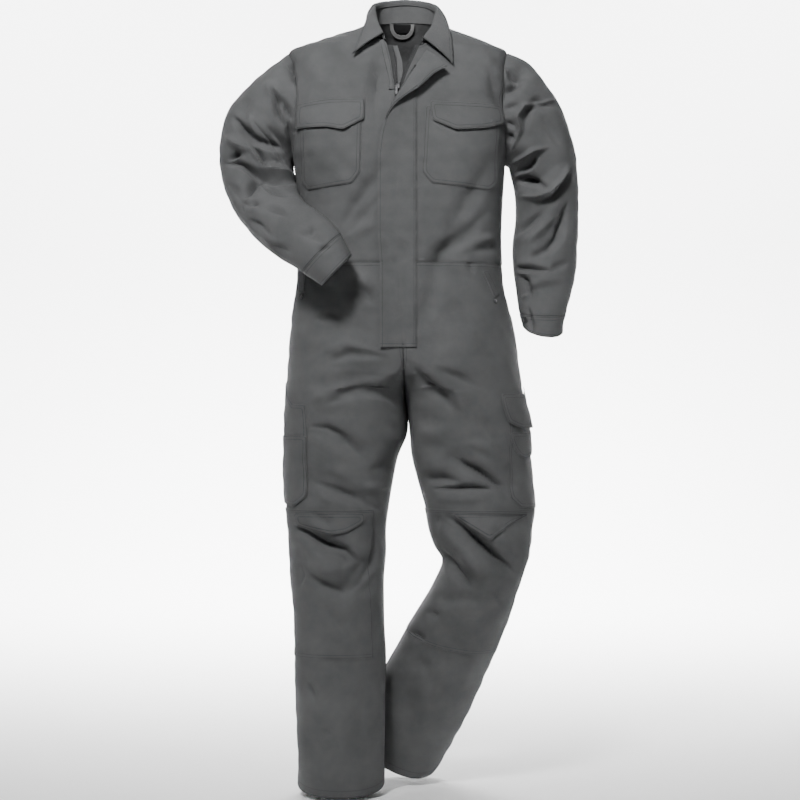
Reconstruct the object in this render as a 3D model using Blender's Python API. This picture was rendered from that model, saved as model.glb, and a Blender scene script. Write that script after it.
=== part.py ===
"""A boiler suit as it hangs on a wearer, with nobody in it: hollow cloth walls, open at neck, cuffs and hems.

All sizes below are in millimetres and become metres when a mesh is made. +Z is up, the front faces -Y, and
the origin is the middle of the neck base, where the wearer's shoulders carry the suit. Right and left are
the wearer's, so right is -X. Each tube of cloth is a table of sections. A section runs from an outer point
to an inner point (both seen from the front) and bulges to the front and to the back. The place on a tube is
(u, v): v counts the sections, and u goes from 0 on the outer side to 1 on the inner side over the front,
and to -1 over the back.
"""

import math

import bmesh
import bpy
import numpy as np

MM = 0.001
CLOTH = 2.0  # wall of the panels
TRIM = 1.7  # wall of pockets, flaps and other pieces that lie on a panel
SEAM_GAP = 0.3
WAIST_Z = -452.0
ZIP_X = -4.0
ZIP_TAPE = 13.0  # width of each tape
SLIDER_Z = -112.0
FRONT_EDGE_GAP = 6.0  # from the zip's middle to each front edge

ARMHOLE_TOP, ARMHOLE_BOTTOM = -28.0, -250.0
ARMHOLE_FRONT, ARMHOLE_BACK = 78.0, 82.0
SLEEVE_CELLS = 18
ARM_CELLS = 10  # cells of half a sleeve's round, and of an armhole's height
FRONT_CELLS, BACK_CELLS, LEG_CELLS = 7, 14, 8

GREY = (0.105, 0.107, 0.108)
DARK_GREY = (0.045, 0.046, 0.047)
BLACK = (0.012, 0.012, 0.013)
STEEL = (0.32, 0.32, 0.33)


def table(columns, rows):
    """The rows as one array for each named column."""
    return {name: np.array([row[k] for row in rows], float) for k, name in enumerate(columns.split())}


TORSO = table(
    "out_z in_z out_x in_x front_y back_y power",
    (
        (50, 50, -46, 66, -40, 58, 2.0),
        (36, 36, -62, 82, -52, 66, 2.0),
        (22, 22, -80, 98, -63, 76, 2.0),
        (8, 8, -130, 133, -74, 85, 2.0),
        (-4, -4, -165, 166, -84, 94, 2.1),
        (-16, -16, -197, 193, -93, 103, 2.2),
        (-28, -28, -222, 213, -100, 110, 2.4),
        (-60, -60, -217, 213, -111, 120, 3.2),
        (-100, -100, -213, 212, -119, 127, 4.0),
        (-140, -140, -212, 212, -122, 130, 4.0),
        (-190, -190, -211, 211, -125, 131, 4.0),
        (-230, -230, -210, 210, -125, 130, 3.8),
        (-250, -250, -209, 209, -125, 129, 3.4),
        (-290, -290, -207, 207, -124, 125, 3.0),
        (-340, -340, -205, 204, -122, 120, 2.7),
        (-400, -400, -203, 202, -120, 117, 2.6),
        (WAIST_Z, WAIST_Z, -205, 204, -120, 118, 2.5),
    ),
)
SEAT = table(
    "z right_x left_x centre_x mid front_y in_front_y back_y in_back_y power",
    (
        (WAIST_Z, -205, 204, -0.5, 1.00, -120, -120, 118, 118, 2.5),
        (-490, -207, 207, 0, 0.97, -123, -123, 130, 130, 2.5),
        (-530, -213, 216, 1, 0.93, -125, -125, 138, 138, 2.5),
        (-570, -218, 225, 3, 0.86, -125, -123, 142, 136, 2.4),
        (-608, -222, 231, 5, 0.79, -123, -120, 142, 126, 2.4),
        (-640, -224, 235, 7, 0.72, -121, -114, 139, 110, 2.3),
        (-665, -225, 239, 8, 0.65, -119, -97, 134, 88, 2.3),
        (-684, -226, 242, 8, 0.59, -117, -68, 129, 60, 2.2),
        (-696, -227, 244, 8, 0.55, -115, -33, 126, 32, 2.2),
        (-702, -227, 246, 8, 0.53, -114, 4, 124, 4, 2.2),
    ),
)
LEG_COLUMNS = "out_x out_z in_x in_z side_y front_y back_y lean_front lean_back cells"
RIGHT_LEG = table(
    LEG_COLUMNS,
    (
        (-228, -724, 10.6, -724, 3, -111, 116, 0, 0, 1),
        (-230, -757, 16.4, -757, 2, -107, 108, 0, 0, 1),
        (-230, -790, 13.5, -790, 0, -104, 104, 0, 0, 1),
        (-230, -832, -4, -832, 0, -100, 100, 0, 0, 2),
        (-230, -880, -14, -880, 0, -97, 96, 0, 0, 2),
        (-226, -934, -23, -934, -3, -95, 90, 0, 0, 2),
        (-222, -976, -28, -976, -6, -95, 84, 0, 0, 2),
        (-218, -1024, -28, -1024, -6, -94, 80, 0, 0, 2),
        (-216, -1072, -32, -1072, -5, -90, 78, 0, 0, 2),
        (-213, -1120, -32, -1120, -3, -85, 78, 0, 0, 2),
        (-211, -1174, -31, -1174, -1, -81, 78, 0, 0, 1),
        (-210, -1228, -28, -1228, 0, -77, 78, 0, 0, 1),
        (-209, -1290, -29, -1290, 0, -75, 77, 0, 0, 1),
        (-206, -1384, -30, -1384, 0, -73, 75, 0, 0, 2),
        (-203, -1440, -31, -1440, 0, -72, 74, 6, 2, 1),
        (-205, -1487, -31, -1487, 0, -72, 73, 16, 6, 1),
    ),
)
LEFT_LEG = table(
    LEG_COLUMNS,
    (
        (250, -724, 11.1, -724, 3, -112, 116, 0, 0, 1),
        (256, -757, 17.2, -757, 2, -107, 108, 0, 0, 1),
        (258, -790, 20, -790, 0, -104, 104, 0, 0, 1),
        (259, -832, 24, -832, 0, -101, 100, 0, 0, 2),
        (264, -880, 36, -880, -3, -100, 94, 0, 0, 2),
        (268, -934, 51, -934, -10, -102, 84, 0, 0, 2),
        (262, -976, 59, -976, -15, -104, 76, 0, 0, 2),
        (259, -1012, 70, -1008, -18, -103, 72, 2, -2, 1),
        (253, -1044, 86, -1040, -18, -100, 70, 6, -6, 1),
        (237, -1097, 66, -1090, -2, -86, 80, 14, -12, 2),
        (220, -1153, 43, -1131, 15, -65, 94, 18, -18, 1),
        (197, -1217, 15, -1178, 34, -42, 112, 20, -20, 1),
        (179, -1263, -5, -1216, 53, -21, 128, 20, -20, 1),
        (157, -1318, -28, -1259, 74, 2, 147, 20, -20, 1),
        (134, -1373, -49, -1305, 94, 23, 165, 20, -20, 1),
        (106, -1426, -67, -1352, 112, 42, 182, 24, -18, 1),
        (76, -1479, -83, -1401, 130, 60, 199, 38, -10, 1),
    ),
)
SLEEVE_COLUMNS = "out_x out_z in_x in_z side_y depth lean_front lean_back"
SLEEVE_RIGHT = table(
    SLEEVE_COLUMNS,
    (
        (-222, -28, -209, -250, 0, 80, 0, 0),
        (-276, -68, -214, -253, 2, 79, 0, 0),
        (-314, -107, -213, -256, 4, 77, 0, 0),
        (-344, -145, -212, -260, 4, 74, 0, 0),
        (-358, -196, -212, -266, 0, 70, 0, 0),
        (-359, -241, -208.8, -275, -8, 66, 2, -2),
        (-352, -287, -207.8, -286, -23, 62, 0, 0),
        (-336, -330, -203.8, -300, -46, 58, -4, 4),
        (-311, -370, -198, -316, -76, 55, -8, 8),
        (-280, -408, -184, -336, -106, 52, -12, 12),
        (-247, -434, -158, -356, -132, 48, -12, 14),
        (-213, -457, -132, -379, -152, 45, -8, 9),
        (-185, -476, -112, -404, -165, 42, -3, 3),
        (-148, -501, -92, -443, -170, 41, 2, -2),
    ),
)
SLEEVE_LEFT = table(
    SLEEVE_COLUMNS,
    (
        (213, -28, 209, -250, 0, 80, 0, 0),
        (256, -48, 216, -253, 0, 79, 0, 0),
        (290, -90, 218, -255, 0, 77, 0, 0),
        (316, -128, 219, -258, 0, 74, 0, 0),
        (336, -176, 220, -263, 2, 71, 0, 0),
        (350, -229, 222, -271, 4, 68, 0, 0),
        (356, -281, 226, -287, 6, 65, 0, 0),
        (357, -327, 231, -319, 8, 62, 0, 0),
        (356, -375, 231, -363, 8, 60, 0, 0),
        (355, -420, 225, -412, 4, 58, 0, 0),
        (352, -466, 226, -456, -4, 55, 2, 0),
        (343, -507, 231, -501, -14, 50, 6, 0),
        (331, -549, 237, -547, -24, 44, 8, 0),
        (324, -585, 244, -575, -32, 42, 16, 4),
    ),
)
# Soft troughs (depth below 0) and ridges, each along a line seen from the front.
FOLDS = table(
    "zone ax az bx bz width depth",
    (
        (1, -230, -47, -202, -108, 24, -7),
        (1, -287, -178, -234, -247, 30, 9),
        (1, -292, -216, -271, -272, 26, 7),
        (1, -271, -272, -208, -280, 24, 8),
        (1, -302, -323, -275, -278, 26, -8),
        (1, -347, -261, -318, -237, 22, -5),
        (1, -190, -370, -133, -416, 20, -4),
        (2, 252, -61, 206, -120, 26, -9),
        (2, 218, -217, 265, -225, 22, 6),
        (2, 224, -286, 261, -291, 22, -8),
        (2, 260, -325, 326, -270, 24, 8),
        (2, 277, -425, 334, -346, 28, -8),
        (2, 256, -437, 297, -451, 22, -6),
        (2, 228, -470, 256, -516, 22, -6),
        (0, 155, -401, 68, -445, 30, -6),
        (0, -45, -42, -45, -178, 22, -3),
        (3, 68, -455, 58, -525, 26, -5),
        (3, 58, -525, 35, -574, 26, -6),
        (3, -34, -658, -115, -701, 34, -5),
        (3, -105, -701, -175, -726, 34, 5),
        (3, -164, -776, -70, -825, 30, -7),
        (3, -173, -866, -64, -919, 30, -9),
        (3, -205, -968, -146, -1003, 26, -9),
        (3, -146, -1003, -86, -1046, 26, -11),
        (3, -160, -1032, -111, -1044, 44, 10),
        (3, -207, -1015, -160, -1075, 24, -6),
        (3, -160, -1075, -109, -1091, 24, -8),
        (3, -109, -1091, -51, -1024, 24, -8),
        (3, -190, -1271, -165, -1311, 24, -5),
        (3, 40, -680, 99, -739, 36, -5),
        (3, 48, -655, 146, -741, 36, 5),
        (3, 107, -837, 205, -893, 30, -9),
        (3, 39, -878, 99, -868, 24, -6),
        (3, 98, -960, 148, -993, 26, -10),
        (3, 148, -993, 219, -1050, 26, -11),
        (3, 92, -1017, 142, -1085, 28, -9),
        (3, 121, -1009, 168, -1063, 36, 9),
    ),
)
TORSO_ZONE, SLEEVE_RIGHT_ZONE, SLEEVE_LEFT_ZONE, LEG_ZONE = 0, 1, 2, 3

# The two front edges: how far across they lie at each height. Below the slider they run straight down.
RIGHT_EDGE = table(
    "z x", ((-452, -10), (-117, -10), (-84, -14), (-54, -19), (-25, -26), (-15, -33), (40, -50))
)
LEFT_EDGE = table("z x", ((-452, 2), (-117, 2), (-84, 14), (-50, 29), (-30, 38), (40, 60)))
NECK_SIDE_Z, NECK_BACK_Z = 36.0, 46.0
NECKLINE = {
    "right": table("x z", ((-62, 36), (-60, 24), (-55, 10), (-45, -4), (-33, -15))),
    "left": table("x z", ((82, 36), (82, 24), (76, 8), (62, -12), (38, -30))),
}

# Collar stations from the right front round the back to the left front, as shares of the neck seam's
# length: the line the collar folds over (roll) and the leaf's outer edge.
COLLAR = table(
    "round roll_x roll_y roll_z edge_x edge_y edge_z",
    (
        (0.0, -34, -104, -8, -92, -113, -49),
        (0.051, -42, -80, 10, -82, -97, -22),
        (0.127, -49, -50, 30, -72, -72, 8),
        (0.2, -54, -18, 52, -66, -37, 29),
        (0.272, -55, 14, 70, -66, 8, 38),
        (0.348, -43, 47, 82, -59, 49, 42),
        (0.417, -20, 64, 88, -32, 78, 47),
        (0.486, 10, 68, 91, 10, 84, 49),
        (0.556, 40, 64, 88, 52, 78, 46),
        (0.624, 64, 47, 80, 80, 49, 39),
        (0.7, 77, 14, 66, 93, 8, 31),
        (0.773, 75, -18, 48, 95, -38, 20),
        (0.853, 68, -50, 22, 98, -73, 0),
        (0.932, 60, -84, 4, 101, -99, -30),
        (1.0, 46, -106, -18, 102, -118, -68),
    ),
)

# Pieces that lie on a front, as outlines seen from the front, and how far the piece stands off the panel.
ON_PANEL = 0.3
ON_POCKET = ON_PANEL + TRIM + 0.3
CHEST_POCKET = {
    "right": ((-196, -150), (-74, -150), (-77, -279), (-93, -300), (-179, -311), (-193, -294)),
    "left": ((50, -150), (194, -150), (193, -294), (176, -311), (61, -300), (43, -279)),
}
CHEST_FLAP = {
    "right": ((-200, -143), (-136, -136), (-68, -136), (-70, -177), (-110, -197), (-143, -191), (-198, -191)),
    "left": ((57, -141), (199, -146), (199, -182), (163, -193), (108, -197), (63, -179)),
}
KNEE_COLUMNS = {"right": (0, 6), "left": (1, 8)}  # of the trouser front's, from the side seam
KNEE_FLAP = {
    "right": ((-206, -941), (-71, -941), (-72, -960), (-105, -978), (-135, -983), (-205, -968)),
    "left": ((101, -941), (250, -944), (219, -960), (174, -993), (109, -952)),
}
HIP_WELT = {
    "right": ((-199, -462), (-186, -462), (-187, -508), (-199, -511)),
    "left": ((160, -468), (172, -466), (196, -512), (185, -521)),
}
RIVET = {"right": (-193, -517), "left": (186, -526)}
RIVET_RADIUS, RIVET_HEIGHT = 4.0, 1.6
CUFF_SNAP = {"right": (-0.62, 0.5), "left": (0.795, 0.225)}  # how far round the cuff and down it
CUFF_SNAP_RADIUS = 5.8
# Pockets and flaps round the outer side of a thigh, seen from the front; they go on round the side.
RULER_UPPER = (
    (-270, -684), (-240, -684), (-210, -728), (-182, -729), (-184, -893), (-205, -921), (-270, -919)
)
RULER_POCKET = ((-270, -790), (-181, -790), (-180, -895), (-182, -909), (-203, -927), (-270, -924))
CARGO_POCKET = ((212, -738), (213, -892), (216, -913), (235, -931), (300, -934), (300, -738))
CARGO_FLAP = (
    (197, -708), (197, -720), (202, -742), (209, -763), (223, -771), (236, -776), (300, -775), (300, -706)
)
PHONE_FLAP = (
    (214, -784), (215, -798), (221, -816), (230, -830), (242, -837), (258, -825), (300, -812), (300, -784)
)


def between(values, v):
    """A column's value at the row position v, on a smooth curve through its rows (Catmull-Rom)."""
    last = len(values) - 1
    v = np.clip(v, 0, last)
    i = np.minimum(v.astype(int), last - 1)
    f = v - i
    before, a, b, after = (values[np.clip(i + k, 0, last)] for k in (-1, 0, 1, 2))
    return a + 0.5 * f * (
        (b - before) + f * ((2 * before - 5 * a + 4 * b - after) + f * (3 * (a - b) + after - before))
    )


def between_rows(column, value):
    """The row position at which a rising column reaches a value."""
    return np.interp(value, column, np.arange(len(column)))


def unit(vectors):
    return vectors / np.maximum(np.linalg.norm(vectors, axis=-1, keepdims=True), 1e-9)


def fold_height(zone, x, z):
    """How far the folds of a zone move the cloth out at a place seen from the front."""
    height = np.zeros_like(x)
    for k in np.flatnonzero(FOLDS["zone"] == zone):
        ax, az, bx, bz, width, depth = (FOLDS[name][k] for name in "ax az bx bz width depth".split())
        length2 = (bx - ax) ** 2 + (bz - az) ** 2
        along = np.clip(((x - ax) * (bx - ax) + (z - az) * (bz - az)) / length2, 0, 1)
        away = np.hypot(x - ax - along * (bx - ax), z - az - along * (bz - az)) / width
        height += depth * np.clip(1 - away**2, 0, None) ** 2 * (1 - 0.5 * np.abs(2 * along - 1) ** 3)
    return height


class Tube:
    """A tube of cloth through a table of sections, with its folds."""

    def __init__(self, rows, zone, first_closed=0):
        count = len(rows["out_x"])
        side_y = rows.get("side_y", np.zeros(count))
        plain = {
            "mid": np.full(count, 0.5),
            "power": np.full(count, 2.2),
            "side_y": side_y,
            "in_front_y": side_y,
            "in_back_y": side_y,
            "lean_front": np.zeros(count),
            "lean_back": np.zeros(count),
        }
        self.rows = {**plain, **rows}
        self.zone = zone
        self.first_closed = first_closed  # above this row the inner ends of front and back lie apart
        self.count = count
        fine_v = np.linspace(0, count - 1, 40 * count)
        self.fine_v = fine_v
        self.fine_z = between(self.rows["out_z"], fine_v)

    def get(self, name, v):
        return between(self.rows[name], v)

    def v_at(self, z):
        """The row position at a height, for tubes whose sections are level."""
        return np.interp(-np.asarray(z, float), -self.fine_z, self.fine_v)

    def split(self, v, front):
        """The |u| at which the outer quarter of a section meets the inner one."""
        out_x, out_z, in_x, in_z, mid = (self.get(name, v) for name in "out_x out_z in_x in_z mid".split())
        depth_y = np.where(front, self.get("front_y", v), self.get("back_y", v))
        inner_y = np.where(front, self.get("in_front_y", v), self.get("in_back_y", v))
        width = np.hypot(in_x - out_x, in_z - out_z)
        outer_reach = mid * width + np.abs(depth_y - self.get("side_y", v))
        inner_reach = (1 - mid) * width + np.abs(depth_y - inner_y)
        return outer_reach / (outer_reach + inner_reach)

    def front_u(self, x, v):
        """How far round the front the place at x lies, at level rows v."""
        out_x, in_x, mid, power = (self.get(name, v) for name in "out_x in_x mid power".split())
        t = np.clip((x - out_x) / (in_x - out_x), 0, 1)
        outer = t < mid
        across = np.where(outer, 1 - t / mid, (t - mid) / np.maximum(1 - mid, 1e-9))
        quarter = np.arccos(np.clip(across, 0, 1) ** (power / 2)) / (math.pi / 2)
        split = self.split(v, True)
        return np.where(outer, quarter * split, 1 - quarter * (1 - split))

    def plain_point(self, u, v):
        u, v = np.broadcast_arrays(np.asarray(u, float), np.asarray(v, float))
        u = np.where(u > 1, u - 2, np.where(u < -1, u + 2, u))
        front = u >= 0
        out_x, out_z, in_x, in_z = (self.get(name, v) for name in ("out_x", "out_z", "in_x", "in_z"))
        mid, power, side_y = (self.get(name, v) for name in ("mid", "power", "side_y"))
        depth_y = np.where(front, self.get("front_y", v), self.get("back_y", v))
        inner_y = np.where(front, self.get("in_front_y", v), self.get("in_back_y", v))
        lean = np.where(front, self.get("lean_front", v), self.get("lean_back", v))
        split = self.split(v, front)
        outer = np.abs(u) <= split
        turn = np.where(outer, np.abs(u) / split, (1 - np.abs(u)) / np.maximum(1 - split, 1e-9))
        turn = np.clip(turn, 0, 1) * math.pi / 2
        across = np.clip(np.cos(turn), 0, 1) ** (2 / power)
        bulge = np.clip(np.sin(turn), 0, 1) ** (2 / power)
        t = np.where(outer, mid * (1 - across), mid + (1 - mid) * across)
        start_y = np.where(outer, side_y, inner_y)
        down = 0.05
        step_x = self.middle("x", v + down) - self.middle("x", v - down)
        step_z = self.middle("z", v + down) - self.middle("z", v - down)
        step = np.maximum(np.hypot(step_x, step_z), 1e-9)
        return np.stack(
            (
                out_x + (in_x - out_x) * t + lean * bulge * step_x / step,
                start_y + (depth_y - start_y) * bulge,
                out_z + (in_z - out_z) * t + lean * bulge * step_z / step,
            ),
            axis=-1,
        )

    def middle(self, axis, v):
        return (self.get("out_" + axis, v) + self.get("in_" + axis, v)) / 2

    def normal(self, u, v):
        """The outward direction, from points a little apart on the plain tube."""
        u, v = np.broadcast_arrays(np.asarray(u, float), np.asarray(v, float))
        du, dv = 0.03, 0.12
        open_row = v < self.first_closed - 1e-6
        same_side = np.where(u >= 0, 1.0, -1.0)
        u_more, u_less = u + du, u - du
        u_more = np.where(open_row & (same_side > 0), np.minimum(u_more, 1), u_more)
        u_less = np.where(open_row & (same_side < 0), np.maximum(u_less, -1), u_less)
        v_more, v_less = np.minimum(v + dv, self.count - 1), np.maximum(v - dv, 0)
        across = self.plain_point(u_more, v) - self.plain_point(u_less, v)
        along = self.plain_point(u, v_more) - self.plain_point(u, v_less)
        found = unit(np.cross(across, along))
        heart = np.stack((self.middle("x", v), self.get("side_y", v), self.middle("z", v)), axis=-1)
        outward = np.sum(found * (self.plain_point(u, v) - heart), axis=-1, keepdims=True)
        return found * np.where(outward < 0, -1, 1)

    def point(self, u, v):
        """The cloth's outer face, folds included, and its outward direction."""
        place, out = self.plain_point(u, v), self.normal(u, v)
        facing = np.clip(-1.6 * out[..., 1], 0, 1)
        inner = np.clip((1 - np.abs(u)) / 0.15, 0, 1)  # folds end at a centre seam or an inner side
        height = fold_height(self.zone, place[..., 0], place[..., 2]) * facing * inner
        return place + out * height[..., None], out


def armhole_u(v, front):
    """How far round from the torso's side the armhole's edge lies at the rows v."""
    z = TORSO_TUBE.get("out_z", v)
    middle, half = (ARMHOLE_TOP + ARMHOLE_BOTTOM) / 2, (ARMHOLE_TOP - ARMHOLE_BOTTOM) / 2
    reach = ARMHOLE_FRONT if front else ARMHOLE_BACK
    reach = reach * np.sqrt(np.clip(1 - ((z - middle) / half) ** 2, 0, 1))
    depth = np.abs(TORSO_TUBE.get("front_y" if front else "back_y", v))
    power = TORSO_TUBE.get("power", v)
    return np.arcsin(np.clip(reach / depth, 0, 1) ** (power / 2)) / math.pi


def armhole_loop(u, side):
    """The armhole's edge: |u| from 0 at the shoulder to 1 under the arm, and the way into the wall there."""
    middle, half = (ARMHOLE_TOP + ARMHOLE_BOTTOM) / 2, (ARMHOLE_TOP - ARMHOLE_BOTTOM) / 2
    v = TORSO_TUBE.v_at(middle + half * np.cos(np.abs(u) * math.pi))
    round_u = np.where(u >= 0, armhole_u(v, True), -armhole_u(v, False))
    if side > 0:
        round_u = np.where(u >= 0, 1 - round_u, -1 - round_u)
    place = TORSO_TUBE.plain_point(round_u, v)
    return place, armhole_inward(place, side)


def armhole_inward(place, side):
    """Into the wall at the armhole, the same for panel and sleeve: towards the hole's middle and the body."""
    middle = (ARMHOLE_TOP + ARMHOLE_BOTTOM) / 2
    low = np.clip((middle - place[..., 2]) / (ARMHOLE_TOP - middle), -1, 1)
    towards = np.stack((np.zeros_like(low), -place[..., 1], middle - place[..., 2]), axis=-1)
    body = np.zeros_like(towards)
    body[..., 0] = -side * (0.5 + 0.5 * low)
    return unit(unit(towards) + body)


class Sleeve(Tube):
    """A sleeve whose first section is the armhole's edge itself."""

    def __init__(self, rows, zone, side):
        depth, side_y = rows["depth"], rows["side_y"]
        super().__init__({**rows, "front_y": side_y - depth, "back_y": side_y + depth}, zone)
        self.side = side

    def plain_point(self, u, v):
        u, v = np.broadcast_arrays(np.asarray(u, float), np.asarray(v, float))
        u = np.where(u > 1, u - 2, np.where(u < -1, u + 2, u))
        own = super().plain_point(u, v)
        shift = armhole_loop(u, self.side)[0] - super().plain_point(u, np.zeros_like(v))
        fade = np.clip(1 - v / 2, 0, 1) ** 2
        return own + shift * fade[..., None]

    def point(self, u, v):
        place, out = super().point(u, v)
        at_hole = np.asarray(v)[..., None] < 1e-9
        loop, inward = armhole_loop(np.asarray(u, float), self.side)
        return np.where(at_hole, loop, place), np.where(at_hole, -inward, out)


TORSO_TUBE = Tube(TORSO, TORSO_ZONE)


def leg_tube(leg, out_column, side):
    """The trousers on one side: the seat's half, then the leg."""
    seat_rows = len(SEAT["z"])
    joined = {
        "out_x": np.concatenate((SEAT[out_column], leg["out_x"])),
        "in_x": np.concatenate((SEAT["centre_x"] + side * SEAM_GAP / 2, leg["in_x"])),
        "mid": np.concatenate((SEAT["mid"], np.full(len(leg["out_x"]), 0.5))),
        "power": np.concatenate((SEAT["power"], np.full(len(leg["out_x"]), 2.2))),
        "side_y": np.concatenate((np.zeros(seat_rows), leg["side_y"])),
        "cells": np.concatenate((np.ones(seat_rows), leg["cells"])),
    }
    for name in ("out_z", "in_z"):
        joined[name] = np.concatenate((SEAT["z"], leg[name]))
    for name in ("front_y", "back_y"):
        joined[name] = np.concatenate((SEAT[name], leg[name]))
        joined["in_" + name] = np.concatenate((SEAT["in_" + name], leg["side_y"]))
    for name in ("lean_front", "lean_back"):
        joined[name] = np.concatenate((np.zeros(seat_rows), leg[name]))
    return Tube(joined, LEG_ZONE, first_closed=seat_rows - 1)


LEG_TUBES = {"right": leg_tube(RIGHT_LEG, "right_x", -1), "left": leg_tube(LEFT_LEG, "left_x", 1)}
SLEEVE_TUBES = {
    "right": Sleeve(SLEEVE_RIGHT, SLEEVE_RIGHT_ZONE, -1),
    "left": Sleeve(SLEEVE_LEFT, SLEEVE_LEFT_ZONE, 1),
}
SIDES = {"right": -1, "left": 1}


def row_steps(cells):
    """Row positions down a tube, with each row's own number of cells up to the next."""
    steps = [np.arange(row, row + 1 - 1e-9, 1 / count) for row, count in enumerate(cells[1:])]
    return np.concatenate(steps + [[len(cells) - 1.0]])


LEG_ROWS = {side: row_steps(tube.rows["cells"]) for side, tube in LEG_TUBES.items()}
ARMHOLE_ROWS = TORSO_TUBE.v_at(
    (ARMHOLE_TOP + ARMHOLE_BOTTOM) / 2
    + (ARMHOLE_TOP - ARMHOLE_BOTTOM) / 2 * np.cos(np.linspace(0, math.pi, ARM_CELLS + 1))
)
SHOULDER_ROWS = TORSO_TUBE.v_at(np.array((NECK_SIDE_Z, 22.0, 8.0, -4.0, -16.0)))
SIDE_ROWS = TORSO_TUBE.v_at(np.linspace(ARMHOLE_BOTTOM, WAIST_Z, 8)[1:])
TORSO_ROWS = np.concatenate((SHOULDER_ROWS, ARMHOLE_ROWS, SIDE_ROWS))


def drawn_in(grid):
    """A grid of points with its border drawn in by half the seam's gap."""
    grid = grid.copy()
    for edge, inside in ((0, 1), (-1, -2)):
        grid[edge] += unit(grid[inside] - grid[edge]) * SEAM_GAP / 2
        grid[:, edge] += unit(grid[:, inside] - grid[:, edge]) * SEAM_GAP / 2
    return grid


def material(name, colour, roughness=0.85, metallic=0.0):
    made = bpy.data.materials.new(name)
    made.use_nodes = True
    shader = made.node_tree.nodes["Principled BSDF"]
    shader.inputs["Base Color"].default_value = (*colour, 1)
    shader.inputs["Roughness"].default_value = roughness
    shader.inputs["Metallic"].default_value = metallic
    return made


def solid(name, points, faces, colour=GREY, roughness=0.85, metallic=0.0, origin=(0.0, 0.0, 0.0)):
    """An object from points in millimetres, with its faces turned outwards."""
    mesh = bpy.data.meshes.new(name)
    mesh.from_pydata([tuple((point - np.array(origin)) * MM) for point in points], [], faces)
    work = bmesh.new()
    work.from_mesh(mesh)
    bmesh.ops.recalc_face_normals(work, faces=work.faces)
    if work.calc_volume(signed=True) < 0:
        bmesh.ops.reverse_faces(work, faces=work.faces)
    work.to_mesh(mesh)
    work.free()
    mesh.shade_smooth()
    mesh.set_sharp_from_angle(angle=math.radians(50))
    made = bpy.data.objects.new(name, mesh)
    made.location = np.array(origin) * MM
    made.data.materials.append(material(name, colour, roughness, metallic))
    bpy.context.scene.collection.objects.link(made)
    return made


def shell(name, outer, inner, turned_cells=None, **look):
    """A closed wall between two grids of points: both faces and the rim round them.

    Each cell is two triangles. In the columns that turned_cells marks, its diagonal runs the other way.
    """
    rows, columns = outer.shape[:2]
    turned_cells = np.zeros(columns - 1, bool) if turned_cells is None else turned_cells
    index = np.arange(rows * columns).reshape(rows, columns)
    far = index + rows * columns
    faces = []
    for face, inside_out in ((index, False), (far, True)):
        for i in range(rows - 1):
            for j in range(columns - 1):
                a, b, c, d = (int(face[i + p, j + q]) for p, q in ((0, 0), (0, 1), (1, 1), (1, 0)))
                pair = [(a, b, d), (b, c, d)] if turned_cells[j] else [(a, b, c), (a, c, d)]
                faces += [corner[::-1] for corner in pair] if inside_out else pair
    rim = list(index[0]) + list(index[1:, -1]) + list(index[-1, -2::-1]) + list(index[-2:0:-1, 0])
    for a, b in zip(rim, rim[1:] + rim[:1]):
        a, b = int(a), int(b)
        a_far, b_far = a + rows * columns, b + rows * columns
        faces += [(a, a_far, b_far), (a, b_far, b)]
    return solid(name, np.concatenate((outer.reshape(-1, 3), inner.reshape(-1, 3))), faces, **look)


def front_columns(tube, u):
    """The columns on the front of a leg, whose cells are turned, so that front and back mirror each other."""
    return (u[0, 1:] + u[0, :-1] > 0) & (tube.zone == LEG_ZONE)


def wall(name, tube, u, v, inner_at=None, **look):
    """A cloth panel over the places (u, v) of a tube. inner_at gives its own way into the wall at edges."""
    place, out = tube.point(u, v)
    if inner_at is not None:
        place, out = inner_at(place, out)
    shell(name, drawn_in(place), drawn_in(place - out * CLOTH), turned_cells=front_columns(tube, u), **look)


def ring(name, tube, v, cells, colour=GREY):
    """A tube piece that goes all the way round, between two open ends."""
    u = np.concatenate((np.linspace(0, 1, cells + 1)[:-1], np.linspace(-1, 0, cells + 1)[:-1]))
    grid_u, grid_v = np.meshgrid(u, v)
    place, out = tube.point(grid_u, grid_v)
    outer, inner = place, place - out * CLOTH
    for grid in (outer, inner):
        grid[0] += unit(grid[1] - grid[0]) * SEAM_GAP / 2
        grid[-1] += unit(grid[-2] - grid[-1]) * SEAM_GAP / 2
    rows, columns = grid_u.shape
    index = np.arange(rows * columns).reshape(rows, columns)
    far = index + rows * columns
    faces = []
    for j in range(columns):
        k = (j + 1) % columns
        for i in range(rows - 1):
            a, b, c, d = (int(index[i, j]), int(index[i, k]), int(index[i + 1, k]), int(index[i + 1, j]))
            faces += [(a, b, c), (a, c, d)]
            a, b, c, d = (int(far[i, j]), int(far[i, k]), int(far[i + 1, k]), int(far[i + 1, j]))
            faces += [(a, c, b), (a, d, c)]
        for i in (0, -1):
            a, b = int(index[i, j]), int(index[i, k])
            a_far, b_far = int(far[i, j]), int(far[i, k])
            faces += [(a, a_far, b_far), (a, b_far, b)] if i == 0 else [(a, b_far, a_far), (a, b, b_far)]
    solid(name, np.concatenate((outer.reshape(-1, 3), inner.reshape(-1, 3))), faces, colour=colour)


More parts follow.
